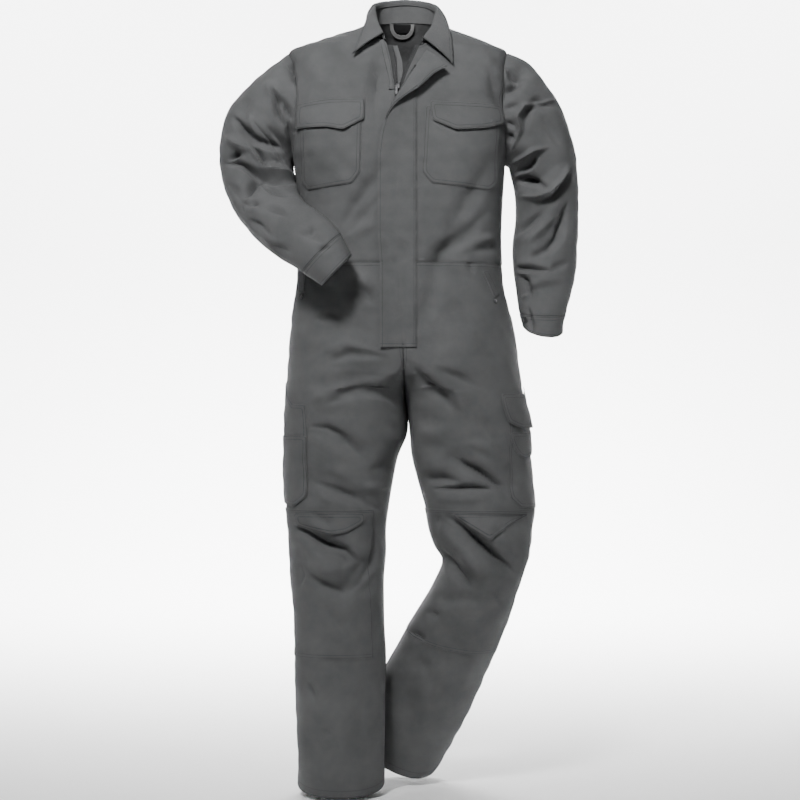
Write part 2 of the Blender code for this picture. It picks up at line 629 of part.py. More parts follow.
def spread_rows(top_v, inward):
    """Row positions of a torso panel: crowded as the armhole's points at the side, even further in."""
    count = len(SHOULDER_ROWS) + 4  # from this row down the rows are level
    side_v, level = TORSO_ROWS[:, None], ARMHOLE_ROWS[4]
    fade = np.clip((level - side_v) / (level - side_v[0]), 0, 1)
    crowded = side_v + fade * (top_v - side_v[0])
    even = top_v + (level - top_v) * np.clip(np.arange(len(TORSO_ROWS)) / count, 0, 1)[:, None]
    even = np.where(side_v < level - 1e-6, even, side_v)
    v = crowded + (even - crowded) * np.sqrt(inward)
    return v, np.clip((level - v) / (level - top_v), 0, 1)


def armhole_side(front):
    """How far round each row of a torso panel starts: 0 at a seam, more along the armhole."""
    side_v = TORSO_ROWS[:, None]
    in_hole = (side_v > ARMHOLE_ROWS[0]) & (side_v < ARMHOLE_ROWS[-1])
    return np.where(in_hole, armhole_u(side_v, front), 0)


def front_grid(side):
    """(u, v) of a chest front: columns from its side edge to its front edge, rows from neck to waist."""
    edge, neckline = (RIGHT_EDGE, NECKLINE["right"]) if side == "right" else (LEFT_EDGE, NECKLINE["left"])
    across = np.linspace(0, 1, FRONT_CELLS + 1)
    stations = across * (len(neckline["x"]) - 1)
    neck_v = TORSO_TUBE.v_at(between(neckline["z"], stations))
    neck_u = TORSO_TUBE.front_u(between(neckline["x"], stations), neck_v)
    v, fade = spread_rows(neck_v, across)
    edge_v = v[:, -1:]
    edge_x = np.interp(-TORSO_TUBE.get("out_z", edge_v), -edge["z"][::-1], edge["x"][::-1])
    u_edge = TORSO_TUBE.front_u(edge_x, edge_v)
    u_side = armhole_side(True)
    if side == "left":
        u_side = 1 - u_side
    u = u_side + (u_edge - u_side) * across
    return u + fade * (neck_u - u[0]), v


def armhole_edges(side_signs, columns):
    """Sets the way into the wall along the armhole on the given border columns of a torso panel."""
    first, last = len(SHOULDER_ROWS), len(SHOULDER_ROWS) + ARM_CELLS

    def change(place, out):
        out = out.copy()
        for column, sign in zip(columns, side_signs):
            out[first : last + 1, column] = -armhole_inward(place[first : last + 1, column], sign)
        return place, out

    return change


def back_grid():
    """(u, v) of the back, from the right side edge to the left one."""
    across = np.linspace(0, 1, BACK_CELLS + 1)
    rise = np.sin(across * math.pi) ** 1.5
    top_v = TORSO_ROWS[0] + (TORSO_TUBE.v_at(NECK_BACK_Z) - TORSO_ROWS[0]) * rise
    v, _ = spread_rows(top_v, np.minimum(across, 1 - across) * 2)
    u_side = armhole_side(False)
    return -(u_side + (1 - 2 * u_side) * across), v


def build_torso():
    for side, sign in SIDES.items():
        u, v = front_grid(side)
        wall(f"front_{side}", TORSO_TUBE, u, v, armhole_edges((sign,), (0,)))
    u, v = back_grid()
    wall("back", TORSO_TUBE, u, v, armhole_edges((-1, 1), (0, -1)))


def build_sleeves():
    for side, tube in SLEEVE_TUBES.items():
        cuff_row = tube.count - 2
        ring(f"sleeve_{side}", tube, np.linspace(0, cuff_row, SLEEVE_CELLS + 1), ARM_CELLS)
        ring(f"cuff_{side}", tube, np.linspace(cuff_row, tube.count - 1, 3), ARM_CELLS)


def leg_grid(side, first, last):
    """(u, v) of a leg's columns first to last, counted in cells from the side seam, below 0 at the back."""
    tube, centre_v = LEG_TUBES[side], LEG_ROWS[side]
    u = np.arange(first, last + 1) / LEG_CELLS
    # The rows crowd together at the crotch and lie evenly at the side seam.
    side_v = centre_v.copy()
    start, end = 3, tube.first_closed + 3
    heights = tube.get("out_z", np.array((start, end), float))
    side_v[start : end + 1] = tube.v_at(np.linspace(heights[0], heights[1], end - start + 1))
    v = side_v[:, None] + (centre_v - side_v)[:, None] * np.abs(u) ** 3
    return np.broadcast_to(u, v.shape), v


def build_trousers():
    for side, tube in LEG_TUBES.items():
        for part, columns in (("front", (0, LEG_CELLS)), ("back", (-LEG_CELLS, 0))):
            wall(f"trouser_{part}_{side}", tube, *leg_grid(side, *columns))


def slab(name, tube, grid, outline, stand_off, y_to=0.0):
    """The part of a panel's surface inside an outline, moved out from the panel's own points."""
    u, v = grid
    rows = rows_near(tube.plain_point(u, v)[..., 2], outline)
    place, out = tube.point(u[rows], v[rows])
    outer, inner = place + out * (stand_off + TRIM), place + out * stand_off
    made = shell(name, outer, inner, turned_cells=front_columns(tube, u))
    keep = made.modifiers.new("outline", "BOOLEAN")
    keep.operation = "INTERSECT"
    keep.object = outline_cutter(name, outline, y_to)


def outline_cutter(name, outline, y_to):
    """A prism along Y, from before the garment, through an outline seen from the front."""
    count = len(outline)
    points = [np.array((x, y, z), float) for y in (-400.0, y_to) for x, z in outline]
    faces = [tuple(range(count)), tuple(range(2 * count - 1, count - 1, -1))]
    faces += [(k, (k + 1) % count, (k + 1) % count + count, k + count) for k in range(count)]
    made = solid(name + "_outline", points, faces)
    made.hide_render = True
    made.display_type = "WIRE"
    return made


def rows_near(heights, outline):
    """The rows of a panel that an outline covers, one more at each end, as a slice."""
    lows, highs = heights.min(axis=1), heights.max(axis=1)
    covered = [z for _, z in outline]
    rows = np.flatnonzero((lows <= max(covered)) & (highs >= min(covered)))
    return slice(max(rows[0] - 1, 0), rows[-1] + 2)


def build_chest_pockets():
    for side in SIDES:
        grid = front_grid(side)
        slab(f"chest_pocket_{side}", TORSO_TUBE, grid, CHEST_POCKET[side], ON_PANEL)
        slab(f"chest_flap_{side}", TORSO_TUBE, grid, CHEST_FLAP[side], ON_POCKET)


def build_knees():
    for side, tube in LEG_TUBES.items():
        top = list(tube.rows["out_z"]).index(-934.0)
        rows = (LEG_ROWS[side] >= top - 1e-6) & (LEG_ROWS[side] <= top + 6 + 1e-6)
        u, v = leg_grid(side, *KNEE_COLUMNS[side])
        place, out = tube.point(u[rows], v[rows])
        outer, inner = drawn_in(place + out * (ON_PANEL + TRIM)), drawn_in(place + out * ON_PANEL)
        shell(f"knee_pocket_{side}", outer, inner, turned_cells=front_columns(tube, u))
        slab(f"knee_flap_{side}", tube, leg_grid(side, 0, LEG_CELLS), KNEE_FLAP[side], ON_POCKET)


def build_hip_pockets():
    for side, tube in LEG_TUBES.items():
        slab(f"hip_welt_{side}", tube, leg_grid(side, 0, LEG_CELLS), HIP_WELT[side], ON_PANEL)


def build_thigh_pockets():
    for name, side, outline, stand_off in (
        ("ruler_pocket_upper", "right", RULER_UPPER, ON_PANEL),
        ("ruler_pocket", "right", RULER_POCKET, ON_POCKET),
        ("cargo_pocket", "left", CARGO_POCKET, ON_PANEL),
        ("cargo_flap", "left", CARGO_FLAP, ON_POCKET),
        ("phone_flap", "left", PHONE_FLAP, ON_POCKET),
    ):
        slab(name, LEG_TUBES[side], leg_grid(side, -4, 4), outline, stand_off, y_to=400.0)


def front_surface(x, z):
    """The garment's front at places seen from the front, above and below the waist, with its direction."""
    x, z = np.broadcast_arrays(np.asarray(x, float), np.asarray(z, float))
    v = TORSO_TUBE.v_at(z)
    place, out = TORSO_TUBE.point(TORSO_TUBE.front_u(x, v), v)
    centre_x = np.interp(-z, -SEAT["z"], SEAT["centre_x"])
    for side, tube in LEG_TUBES.items():
        v = tube.v_at(z)
        leg_place, leg_out = tube.point(tube.front_u(x, v), v)
        here = (z < WAIST_Z) & ((x - centre_x) * SIDES[side] >= 0)
        place, out = np.where(here[..., None], leg_place, place), np.where(here[..., None], leg_out, out)
    return place, out


FLY = table(
    "z free_x sewn_x lapel_x",
    (
        (-617, -39, 32, 0),
        (-457, -39, 32, 0),
        (-395, -43, 32, 0),
        (-244, -43, 32, 0),
        (-197, -36, 32, 0),
        (-164, -20, 32, 10),
        (-137, -8, 32, 30),
        (-110, 11, 44, 60),
        (-80, 29, 80, 89),
        (-46, 46, 50, 50),
    ),
)
FLY_STAND_OFF, FLY_THICK = 1.2, 1.4
FLY_LIFT = 7.0  # how far the turned-out top rises more
TURNED_Z, TURNED_OVER = -190.0, 60.0  # the top starts to turn at this height, over this length


def build_fly():
    """The placket: a strip sewn down the left front, its top turned out over the chest like a lapel."""
    straight = np.linspace(FLY["z"][0], -250, 13)
    z = np.concatenate((straight, (-222, -197, -180, -164, -150, -137, -123, -110, -95, -80, -62, -46)))
    free = np.interp(z, FLY["z"], FLY["free_x"])
    sewn = np.maximum(np.interp(z, FLY["z"], FLY["sewn_x"]), np.interp(z, FLY["z"], FLY["lapel_x"]))
    across = np.linspace(0, 1, 5)
    x = free[:, None] + (sewn - free)[:, None] * across[None]
    grid_z = np.repeat(z[:, None], len(across), axis=1)
    place, out = front_surface(x, grid_z)
    turned = np.clip((grid_z - TURNED_Z) / TURNED_OVER, 0, 1)
    lift = FLY_STAND_OFF + FLY_THICK + FLY_LIFT * turned * np.sin(across * math.pi / 2)[None]
    shell("fly", place + out * lift[..., None], place + out * FLY_STAND_OFF)


ZIP_BOTTOM_Z = -556.0
TAPE_BEHIND, TAPE_THICK = CLOTH + 1.8, 1.0  # from the fronts' outer face
GUARD_BEHIND, GUARD_THICK = TAPE_BEHIND + 2.4, 1.2
GUARD_OVERLAP = 14.0  # the guard goes this far behind the right front


def tape_strip(name, inner_x, outer_x, heights, depth, thick, colour):
    """A narrow strip down the inside of the fronts, that far behind their outer face."""
    across = np.linspace(0, 1, 3)
    x = inner_x[:, None] + (outer_x - inner_x)[:, None] * across[None]
    z = np.repeat(heights[:, None], len(across), axis=1)
    place, out = front_surface(x, z)
    shell(name, place - out * depth, place - out * (depth + thick), colour=colour)


def build_zip():
    heights = np.concatenate((np.linspace(ZIP_BOTTOM_Z, -130, 12), (-117, -100, -84, -68, -54, -40)))
    right_x = np.interp(heights, RIGHT_EDGE["z"], RIGHT_EDGE["x"])
    left_x = np.interp(heights, LEFT_EDGE["z"], LEFT_EDGE["x"])
    reach = FRONT_EDGE_GAP - SEAM_GAP
    tape = (heights, TAPE_BEHIND, TAPE_THICK, DARK_GREY)
    tape_strip("zip_tape_right", right_x - ZIP_TAPE / 2, right_x + reach, *tape)
    tape_strip("zip_tape_left", left_x - reach, left_x + ZIP_TAPE / 2, *tape)
    guard_heights = np.linspace(ZIP_BOTTOM_Z, -34, 16)
    guard_right = np.interp(guard_heights, RIGHT_EDGE["z"], RIGHT_EDGE["x"])
    guard_left = np.interp(guard_heights, LEFT_EDGE["z"], LEFT_EDGE["x"]) * 0.4
    guard = (guard_heights, GUARD_BEHIND, GUARD_THICK, GREY)
    tape_strip("zip_guard", guard_right - GUARD_OVERLAP, np.maximum(guard_left, 6), *guard)


def box_solid(name, centre, size, taper=1.0, **look):
    """A block whose outer face is the given share of its back face."""
    x, y, z = centre
    half_x, half_y, half_z = (value / 2 for value in size)
    points = [
        np.array((x + i * half_x * k, y + j * half_y, z + l * half_z * k))
        for j, k in ((1, 1.0), (-1, taper))
        for i, l in ((-1, -1), (1, -1), (1, 1), (-1, 1))
    ]
    faces = [(0, 1, 2, 3), (7, 6, 5, 4), (0, 4, 5, 1), (1, 5, 6, 2), (2, 6, 7, 3), (3, 7, 4, 0)]
    made = solid(name, points, faces, **look)
    soften = made.modifiers.new("edges", "BEVEL")
    soften.width = 0.35 * MM
    soften.segments = 1
    return made


SLIDER = (9.0, 5.0, 13.0)
PULL = (5.0, 1.5, 19.0)
SLIDER_PROUD = 0.9  # its back stands this far in front of the tapes
PULL_GAP = 0.4


def build_slider():
    surface_y = front_surface(ZIP_X, SLIDER_Z)[0][1]
    slider_y = surface_y + TAPE_BEHIND - SLIDER_PROUD - SLIDER[1] / 2
    metal = {"colour": STEEL, "roughness": 0.35, "metallic": 0.9}
    box_solid("zip_slider", (ZIP_X, slider_y, SLIDER_Z), SLIDER, taper=0.7, **metal)
    pull_y = slider_y - SLIDER[1] / 2 - PULL_GAP - PULL[1] / 2
    hinge = (ZIP_X - 3, pull_y, SLIDER_Z + 2)  # the pull swings about X at its top edge
    box_solid("zip_pull", (hinge[0], pull_y, hinge[2] - PULL[2] / 2), PULL, taper=0.92, origin=hinge, **metal)


def disc(name, place, out, radius, height, **look):
    """A low round stud on a surface."""
    sides = 16
    out = unit(out)
    across = unit(np.cross(out, (0.0, 0.0, 1.0)))
    up = np.cross(across, out)
    points = []
    for level, share in ((0.3, 1.0), (0.3 + height * 0.6, 1.0), (0.3 + height, 0.7)):
        for k in range(sides):
            turn = 2 * math.pi * k / sides
            way = across * math.cos(turn) + up * math.sin(turn)
            points.append(place + out * level + way * radius * share)
    faces = [tuple(range(sides - 1, -1, -1)), tuple(range(2 * sides, 3 * sides))]
    for ring_start in (0, sides):
        for k in range(sides):
            a, b = ring_start + k, ring_start + (k + 1) % sides
            faces.append((a, b, b + sides, a + sides))
    solid(name, points, faces, **look)


def nearest_on(tube, x, z, v_low, v_high):
    """The place on a tube's front that is seen at (x, z)."""
    u, v = np.meshgrid(np.linspace(0.02, 0.98, 193), np.linspace(v_low, v_high, 241))
    place, out = tube.point(u, v)
    best = np.argmin(np.hypot(place[..., 0] - x, place[..., 2] - z))
    return place.reshape(-1, 3)[best], out.reshape(-1, 3)[best]


def build_studs():
    metal = {"colour": STEEL, "roughness": 0.35, "metallic": 0.9}
    for side, tube in LEG_TUBES.items():
        place, out = nearest_on(tube, *RIVET[side], 0, 4)
        disc(f"rivet_{side}", place - out * 0.2, out, RIVET_RADIUS, RIVET_HEIGHT, **metal)
    for side, tube in SLEEVE_TUBES.items():
        u, share = CUFF_SNAP[side]
        place, out = tube.point(np.array(u), np.array(tube.count - 2 + share))
        disc(f"cuff_snap_{side}", place + out * 0.1, out, CUFF_SNAP_RADIUS, RIVET_HEIGHT, **metal)


def neck_edge():
    """The neck seam on the panels' outer face, from the right front round the back to the left front."""
    places, outs = [], []
    parts = (
        (front_grid("right"), slice(None, None, -1)),
        (back_grid(), slice(1, -1)),
        (front_grid("left"), slice(None)),
    )
    for grid, part in parts:
        u, v = (values[0, part] for values in grid)
        place, out = TORSO_TUBE.point(u, v)
        places.append(place)
        outs.append(out)
    return np.concatenate(places), np.concatenate(outs)


STAND_UNDER_FOLD = 2.2  # the stand ends this far below the fold line
STAND_BACK = 1.2  # and lies this far inside it
LEAF_INSIDE = 3.5  # the leaf starts this far inside the fold line
LEAF_BULGE_OUT, LEAF_BULGE_UP = 3.0, 1.0


def build_collar():
    base, base_out = neck_edge()
    lengths = np.concatenate(((0.0,), np.cumsum(np.linalg.norm(np.diff(base, axis=0), axis=1))))
    stations = between_rows(COLLAR["round"], lengths / lengths[-1])
    roll, edge = (
        np.stack([between(COLLAR[f"{line}_{axis}"], stations) for axis in "xyz"], axis=-1)
        for line in ("roll", "edge")
    )
    middle = np.array((10.0, 0.0, 0.0))
    away = unit((roll - middle) * (1, 1, 0))
    up = np.array((0.0, 0.0, 1.0))
    # The stand: a band from the neck seam up to just under the fold.
    height = np.linalg.norm(roll - base, axis=1)
    top = 1 - STAND_UNDER_FOLD / height
    stand = np.stack([base + (roll - base) * (top * f)[:, None] for f in (0.0, 0.5, 1.0)], axis=1)
    stand[:, 0] += unit(roll - base) * SEAM_GAP
    stand[:, 1:] -= away[:, None] * STAND_BACK
    inward = np.stack((-base_out, -away, -away), axis=1)
    shell("collar_stand", stand, stand + inward * CLOTH)
    # The leaf: over the fold, then down to its outer edge in a soft bulge.
    lower = []
    for f in (0.0, 0.12, 0.35, 0.65, 1.0):
        sag = math.sin(f * math.pi)
        bulge = away * (sag * LEAF_BULGE_OUT) + up * (1 - f + sag * LEAF_BULGE_UP)
        lower.append(roll + (edge - roll) * f + bulge)
    lower = np.stack(lower, axis=1)
    lower[:, 0] -= away * LEAF_INSIDE
    along = np.gradient(lower, axis=0)
    across = np.gradient(lower, axis=1)
    out = unit(np.cross(across, along))
    facing = np.sum(out * (away[:, None] + up * 0.8), axis=-1, keepdims=True)
    out = out * np.where(facing < 0, -1, 1)
    shell("collar", lower + out * CLOTH, lower)


def build_neck_pieces():
    """The loop and the plain label inside the back neck."""
    half_width, low_z, top_z, thick = 26.0, 18.0, 44.0, 1.0
    turn = np.linspace(0, math.pi, 15)
    middle_x = 4.0
    band = []
    for reach in (0.0, 7.0):
        x = middle_x - (half_width - reach) * np.cos(turn)
        z = top_z - (top_z - low_z - reach) * np.sin(turn) ** 0.8
        band.append(np.stack((x, z), axis=-1))
    band = np.stack(band, axis=1)
    v = TORSO_TUBE.v_at(band[..., 1])
    u = -TORSO_TUBE.front_u(band[..., 0], v)
    place, out = TORSO_TUBE.point(u, v)
    depth = CLOTH + 2.6
    shell("hanger_loop", place - out * depth, place - out * (depth + thick), colour=(0.2, 0.2, 0.2))
    x, z = np.meshgrid(np.linspace(-14, 24, 6), np.array((43.0, 36.0, 29.0)))
    v = TORSO_TUBE.v_at(z)
    place, out = TORSO_TUBE.point(-TORSO_TUBE.front_u(x, v), v)
    depth = CLOTH + 0.9
    shell("label", place - out * depth, place - out * (depth + 0.8), colour=BLACK)


def clear_scene():
    for old in list(bpy.data.objects):
        bpy.data.objects.remove(old)


def main():
    clear_scene()
    build_torso()
    build_sleeves()
    build_trousers()
    build_chest_pockets()
    build_knees()
    build_hip_pockets()
    build_thigh_pockets()
    build_fly()
    build_zip()
    build_slider()
    build_studs()
    build_collar()
    build_neck_pieces()


main()
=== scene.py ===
"""The looks of a boiler suit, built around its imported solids: fine cloth, sewing, zip, studs and stage.

Sizes are in millimetres and become metres when a mesh is made. +Z is up, the front faces -Y, and right and
left are the wearer's. The tables and the shapes that follow them are those of the solids, at a finer step.
Only the right sleeve's inner side lies up to 2 mm nearer the chest here. Each tube of cloth is a table of
sections, and the place on a tube is (u, v). v counts the sections, and u goes from 0 on the outer side to 1
on the inner side over the front, and to -1 over the back.
"""

import math

import bmesh
import bpy
import numpy as np
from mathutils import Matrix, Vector, geometry


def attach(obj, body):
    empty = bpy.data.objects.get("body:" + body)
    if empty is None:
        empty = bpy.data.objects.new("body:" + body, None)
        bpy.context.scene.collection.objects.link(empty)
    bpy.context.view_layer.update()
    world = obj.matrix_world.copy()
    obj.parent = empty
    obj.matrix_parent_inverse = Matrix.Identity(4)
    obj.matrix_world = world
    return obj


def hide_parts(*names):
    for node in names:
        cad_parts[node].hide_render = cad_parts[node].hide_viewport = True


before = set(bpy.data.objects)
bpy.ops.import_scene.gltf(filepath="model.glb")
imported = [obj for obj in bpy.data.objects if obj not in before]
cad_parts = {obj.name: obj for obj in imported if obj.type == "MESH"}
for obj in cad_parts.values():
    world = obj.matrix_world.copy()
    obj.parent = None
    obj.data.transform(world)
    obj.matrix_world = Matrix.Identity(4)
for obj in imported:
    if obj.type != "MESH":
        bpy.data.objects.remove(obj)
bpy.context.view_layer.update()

MM = 0.001
CLOTH = 2.0  # wall of the panels
TRIM = 1.7  # wall of pockets, flaps and other pieces that lie on a panel
SEAM_GAP = 0.3
WAIST_Z = -452.0
ZIP_TAPE = 13.0  # width of each tape

ARMHOLE_TOP, ARMHOLE_BOTTOM = -28.0, -250.0
ARMHOLE_MIDDLE, ARMHOLE_HALF = (ARMHOLE_TOP + ARMHOLE_BOTTOM) / 2, (ARMHOLE_TOP - ARMHOLE_BOTTOM) / 2
ARMHOLE_FRONT, ARMHOLE_BACK = 78.0, 82.0  # how far the armhole reaches to the front and to the back
FINE = 8  # fine cells for each cell of the solids
SLEEVE_CELLS, CUFF_CELLS = 18 * FINE, 2 * FINE  # down a sleeve and a cuff
ARM_CELLS = 10 * FINE  # cells of half a sleeve's round, and of an armhole's height
FRONT_CELLS, BACK_CELLS, LEG_CELLS = 7 * FINE, 14 * FINE, 8 * FINE
SHOULDER_CELLS, SIDE_CELLS = 5 * FINE, 7 * FINE  # rows above and below the armhole
LEVEL_CELLS = 4 * FINE  # this far below the armhole's top the torso's rows are level
TORSO_ZONE, SLEEVE_RIGHT_ZONE, SLEEVE_LEFT_ZONE, LEG_ZONE = 0, 1, 2, 3
BACK = 10  # a zone plus this is the zone's back


def table(text):
    """A text of rows below a row of names, as one array for each name."""
    names, *rows = (line.split() for line in text.strip().splitlines())
    return dict(zip(names, np.array(rows, float).T.copy()))


def creases(text):
    """Creases from rows of width, depth, lip and the places (x, z) along the line."""
    rows = (np.array(line.split(), float) for line in text.strip().splitlines())
    return [(*row[:3], row[3:].reshape(-1, 2)) for row in rows]


TORSO = table("""
out_z in_z out_x in_x front_y back_y power
50 50 -46 66 -40 58 2
36 36 -62 82 -52 66 2
22 22 -80 98 -63 76 2
8 8 -130 133 -74 85 2
-4 -4 -165 166 -84 94 2.1
-16 -16 -197 193 -93 103 2.2
-28 -28 -222 213 -100 110 2.4
-60 -60 -217 213 -111 120 3.2
-100 -100 -213 212 -119 127 4
-140 -140 -212 212 -122 130 4
-190 -190 -211 211 -125 131 4
-230 -230 -210 210 -125 130 3.8
-250 -250 -209 209 -125 129 3.4
-290 -290 -207 207 -124 125 3
-340 -340 -205 204 -122 120 2.7
-400 -400 -203 202 -120 117 2.6
-452 -452 -205 204 -120 118 2.5
""")
SEAT = table("""
z right_x left_x centre_x mid front_y in_front_y back_y in_back_y power
-452 -205 204 -0.5 1 -120 -120 118 118 2.5
-490 -207 207 0 0.97 -123 -123 130 130 2.5
-530 -213 216 1 0.93 -125 -125 138 138 2.5
-570 -218 225 3 0.86 -125 -123 142 136 2.4
-608 -222 231 5 0.79 -123 -120 142 126 2.4
-640 -224 235 7 0.72 -121 -114 139 110 2.3
-665 -225 239 8 0.65 -119 -97 134 88 2.3
-684 -226 242 8 0.59 -117 -68 129 60 2.2
-696 -227 244 8 0.55 -115 -33 126 32 2.2
-702 -227 246 8 0.53 -114 4 124 4 2.2
""")
RIGHT_LEG = table("""
out_x out_z in_x in_z side_y front_y back_y lean_front lean_back cells
-228 -724 10.6 -724 3 -111 116 0 0 1
-230 -757 16.4 -757 2 -107 108 0 0 1
-230 -790 13.5 -790 0 -104 104 0 0 1
-230 -832 -4 -832 0 -100 100 0 0 2
-230 -880 -14 -880 0 -97 96 0 0 2
-226 -934 -23 -934 -3 -95 90 0 0 2
-222 -976 -28 -976 -6 -95 84 0 0 2
-218 -1024 -28 -1024 -6 -94 80 0 0 2
-216 -1072 -32 -1072 -5 -90 78 0 0 2
-213 -1120 -32 -1120 -3 -85 78 0 0 2
-211 -1174 -31 -1174 -1 -81 78 0 0 1
-210 -1228 -28 -1228 0 -77 78 0 0 1
-209 -1290 -29 -1290 0 -75 77 0 0 1
-206 -1384 -30 -1384 0 -73 75 0 0 2
-203 -1440 -31 -1440 0 -72 74 6 2 1
-205 -1487 -31 -1487 0 -72 73 16 6 1
""")
LEFT_LEG = table("""
out_x out_z in_x in_z side_y front_y back_y lean_front lean_back cells
250 -724 11.1 -724 3 -112 116 0 0 1
256 -757 17.2 -757 2 -107 108 0 0 1
258 -790 20 -790 0 -104 104 0 0 1
259 -832 24 -832 0 -101 100 0 0 2
264 -880 36 -880 -3 -100 94 0 0 2
268 -934 51 -934 -10 -102 84 0 0 2
262 -976 59 -976 -15 -104 76 0 0 2
259 -1012 70 -1008 -18 -103 72 2 -2 1
253 -1044 86 -1040 -18 -100 70 6 -6 1
237 -1097 66 -1090 -2 -86 80 14 -12 2
220 -1153 43 -1131 15 -65 94 18 -18 1
197 -1217 15 -1178 34 -42 112 20 -20 1
179 -1263 -5 -1216 53 -21 128 20 -20 1
157 -1318 -28 -1259 74 2 147 20 -20 1
134 -1373 -49 -1305 94 23 165 20 -20 1
106 -1426 -67 -1352 112 42 182 24 -18 1
76 -1479 -83 -1401 130 60 199 38 -10 1
""")
SLEEVE_RIGHT = table("""
out_x out_z in_x in_z side_y depth lean_front lean_back
-222 -28 -209 -250 0 80 0 0
-276 -68 -214 -253 2 79 0 0
-314 -107 -213 -256 4 77 0 0
-344 -145 -212 -260 4 74 0 0
-358 -196 -212 -266 0 70 0 0
-359 -241 -207.2 -275 -8 66 2 -2
-352 -287 -205.8 -286 -23 62 0 0
-336 -330 -202 -300 -46 58 -4 4
-311 -370 -198 -316 -76 55 -8 8
-280 -408 -184 -336 -106 52 -12 12
-247 -434 -158 -356 -132 48 -12 14
-213 -457 -132 -379 -152 45 -8 9
-185 -476 -112 -404 -165 42 -3 3
-148 -501 -92 -443 -170 41 2 -2
""")
SLEEVE_LEFT = table("""
out_x out_z in_x in_z side_y depth lean_front lean_back
213 -28 209 -250 0 80 0 0
256 -48 216 -253 0 79 0 0
290 -90 218 -255 0 77 0 0
316 -128 219 -258 0 74 0 0
336 -176 220 -263 2 71 0 0
350 -229 222 -271 4 68 0 0
356 -281 226 -287 6 65 0 0
357 -327 231 -319 8 62 0 0
356 -375 231 -363 8 60 0 0
355 -420 225 -412 4 58 0 0
352 -466 226 -456 -4 55 2 0
343 -507 231 -501 -14 50 6 0
331 -549 237 -547 -24 44 8 0
324 -585 244 -575 -32 42 16 4
""")
# Soft troughs (depth below 0) and ridges, each along a line seen from the front.
FOLDS = table("""
zone ax az bx bz width depth
1 -230 -47 -202 -108 24 -7
1 -287 -178 -234 -247 30 9
1 -292 -216 -271 -272 26 7
1 -271 -272 -208 -280 24 8
1 -302 -323 -275 -278 26 -8
1 -347 -261 -318 -237 22 -5
1 -190 -370 -133 -416 20 -4
2 252 -61 206 -120 26 -9
2 218 -217 265 -225 22 6
2 224 -286 261 -291 22 -8
2 260 -325 326 -270 24 8
2 277 -425 334 -346 28 -8
2 256 -437 297 -451 22 -6
2 228 -470 256 -516 22 -6
0 155 -401 68 -445 30 -6
0 -45 -42 -45 -178 22 -3
3 68 -455 58 -525 26 -5
3 58 -525 35 -574 26 -6
3 -34 -658 -115 -701 34 -5
3 -105 -701 -175 -726 34 5
3 -164 -776 -70 -825 30 -7
3 -173 -866 -64 -919 30 -9
3 -205 -968 -146 -1003 26 -9
3 -146 -1003 -86 -1046 26 -11
3 -160 -1032 -111 -1044 44 10
3 -207 -1015 -160 -1075 24 -6
3 -160 -1075 -109 -1091 24 -8
3 -109 -1091 -51 -1024 24 -8
3 -190 -1271 -165 -1311 24 -5
3 40 -680 99 -739 36 -5
3 48 -655 146 -741 36 5
3 107 -837 205 -893 30 -9
3 39 -878 99 -868 24 -6
3 98 -960 148 -993 26 -10
3 148 -993 219 -1050 26 -11
3 92 -1017 142 -1085 28 -9
3 121 -1009 168 -1063 36 9
""")

